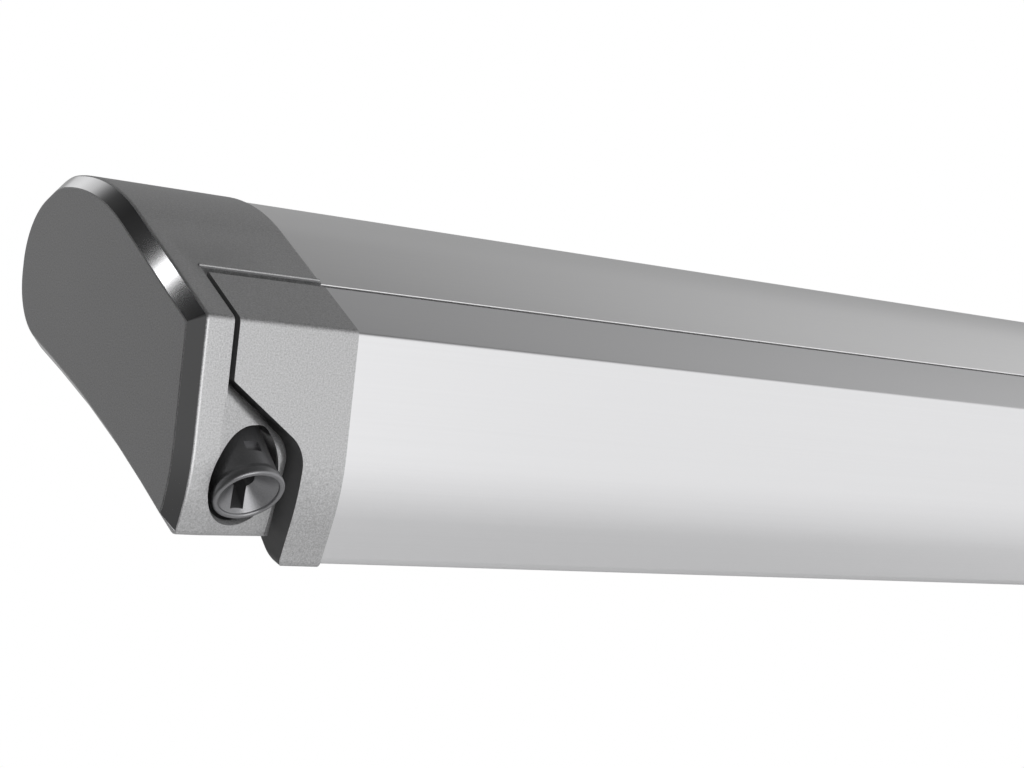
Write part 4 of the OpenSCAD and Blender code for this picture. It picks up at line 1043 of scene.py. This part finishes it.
# %% [markdown]
# ## Studio
#
# The awning hangs on a wall, so the floor lies well below it, lower than the legs reach. The world
# is white to the camera. For light and reflections it is a plain studio: bright in front and near
# the horizon, dimmer overhead and on the left. It is a product of soft ramps, each over one
# direction, so a single tone can be changed alone. Three lamps light the front, the polished bevel
# and the floor.

# %% World and floor
def make_world():
    world = bpy.data.worlds.new("studio")
    world.use_nodes = True
    tree = world.node_tree
    tree.nodes.clear()
    out = tree.nodes.new("ShaderNodeOutputWorld")
    place = tree.nodes.new("ShaderNodeTexCoord").outputs["Generated"]
    way = add_node(tree, "ShaderNodeSeparateXYZ")
    tree.links.new(place, way.inputs[0])

    def ramp(source, low, high, at_low, at_high):
        node = add_node(tree, "ShaderNodeMapRange", interpolation_type="SMOOTHSTEP")
        for key, value in (("From Min", low), ("From Max", high), ("To Min", at_low), ("To Max", at_high)):
            node.inputs[key].default_value = value
        tree.links.new(source, node.inputs["Value"])
        return node.outputs["Result"]

    def towards(x, y, z):
        dot = add_node(tree, "ShaderNodeVectorMath", operation="DOT_PRODUCT")
        dot.inputs[1].default_value = Vector((x, y, z)).normalized()
        tree.links.new(place, dot.inputs[0])
        return dot.outputs["Value"]

    level = 1.0
    for part in (ramp(way.outputs["Z"], 0.40, 0.90, 1.0, 0.08),             # dim overhead
                 ramp(way.outputs["X"], -0.80, 0.25, 0.08, 1.0),            # dim on the left
                 ramp(way.outputs["Z"], -0.6, 0.0, 0.66, 1.0),              # softer from below
                 ramp(towards(0.6, 0.8, 0.0), 0.64, 0.86, 1.0, 0.36),       # dim behind
                 ramp(towards(-0.40, 0.52, 0.76), 0.91, 0.985, 1.0, 0.20),  # dark part of the bevel
                 ramp(towards(0.58, 0.45, 0.68), 0.95, 0.995, 1.0, 1.15)):  # light on the roof
        level = math_of(tree, "MULTIPLY", level, part)
    studio, white = tree.nodes.new("ShaderNodeBackground"), tree.nodes.new("ShaderNodeBackground")
    for light in (studio, white):
        light.inputs["Color"].default_value = (1, 1, 1, 1)
    tree.links.new(level, studio.inputs["Strength"])
    mix = tree.nodes.new("ShaderNodeMixShader")
    path = tree.nodes.new("ShaderNodeLightPath")
    tree.links.new(path.outputs["Is Camera Ray"], mix.inputs[0])
    tree.links.new(studio.outputs[0], mix.inputs[1])
    tree.links.new(white.outputs[0], mix.inputs[2])
    tree.links.new(mix.outputs[0], out.inputs["Surface"])
    return world


scene.world = make_world()
floor_x, floor_y, floor_z = 4, 3, -2.7
floor_mesh = bpy.data.meshes.new("floor")
floor_mesh.from_pydata([(x, y, floor_z) for x, y in strip(-floor_x, -floor_y, 2 * floor_x, 2 * floor_y)], [],
                       [[0, 1, 2, 3]])
floor = placed("floor", floor_mesh)
floor_white = bpy.data.materials.new("floor_white")
floor_white.use_nodes = True
floor_shader = floor_white.node_tree.nodes["Principled BSDF"]
floor_shader.inputs["Base Color"].default_value = (0.86, 0.86, 0.86, 1)
floor_shader.inputs["Roughness"].default_value = 0.8
floor_mesh.materials.append(floor_white)
print("floor at", floor_z, "m in", scene.world.name)

# %% Lamps
def soft_lamp(name, place, target, across, width, height, power):
    """Rectangular lamp that looks at target; its width runs as near as it can along across."""
    lamp = bpy.data.lights.new(name, "AREA")
    lamp.shape, lamp.size, lamp.size_y, lamp.energy = "RECTANGLE", width, height, power
    obj = placed(name, lamp)
    back = (Vector(place) - Vector(target)).normalized()
    side = (Vector(across) - back * back.dot(Vector(across))).normalized()
    turn = Matrix((side, back.cross(side), back)).transposed()
    obj.matrix_world = Matrix.Translation(place) @ turn.to_4x4()
    obj.visible_camera = False
    return obj


soft_lamp("front_key", (-1.9, -3.2, -0.4), (-1.2, -0.1, 0.0), (1, 0, 0), 2.6, 1.8, 40.0)
soft_lamp("bevel_strip", (-1.590, 0.258, 0.629), (-1.296, -0.067, 0.074), (0.18, 0.94, 0.31), 0.018, 0.25,
          0.028)
soft_lamp("floor_wash", (0, 0, -2.0), (0, 0, floor_z), (1, 0, 0), 2.0 * floor_x, 2.0 * floor_y, 52.0)

# %% Update the view layer
bpy.context.view_layer.update()
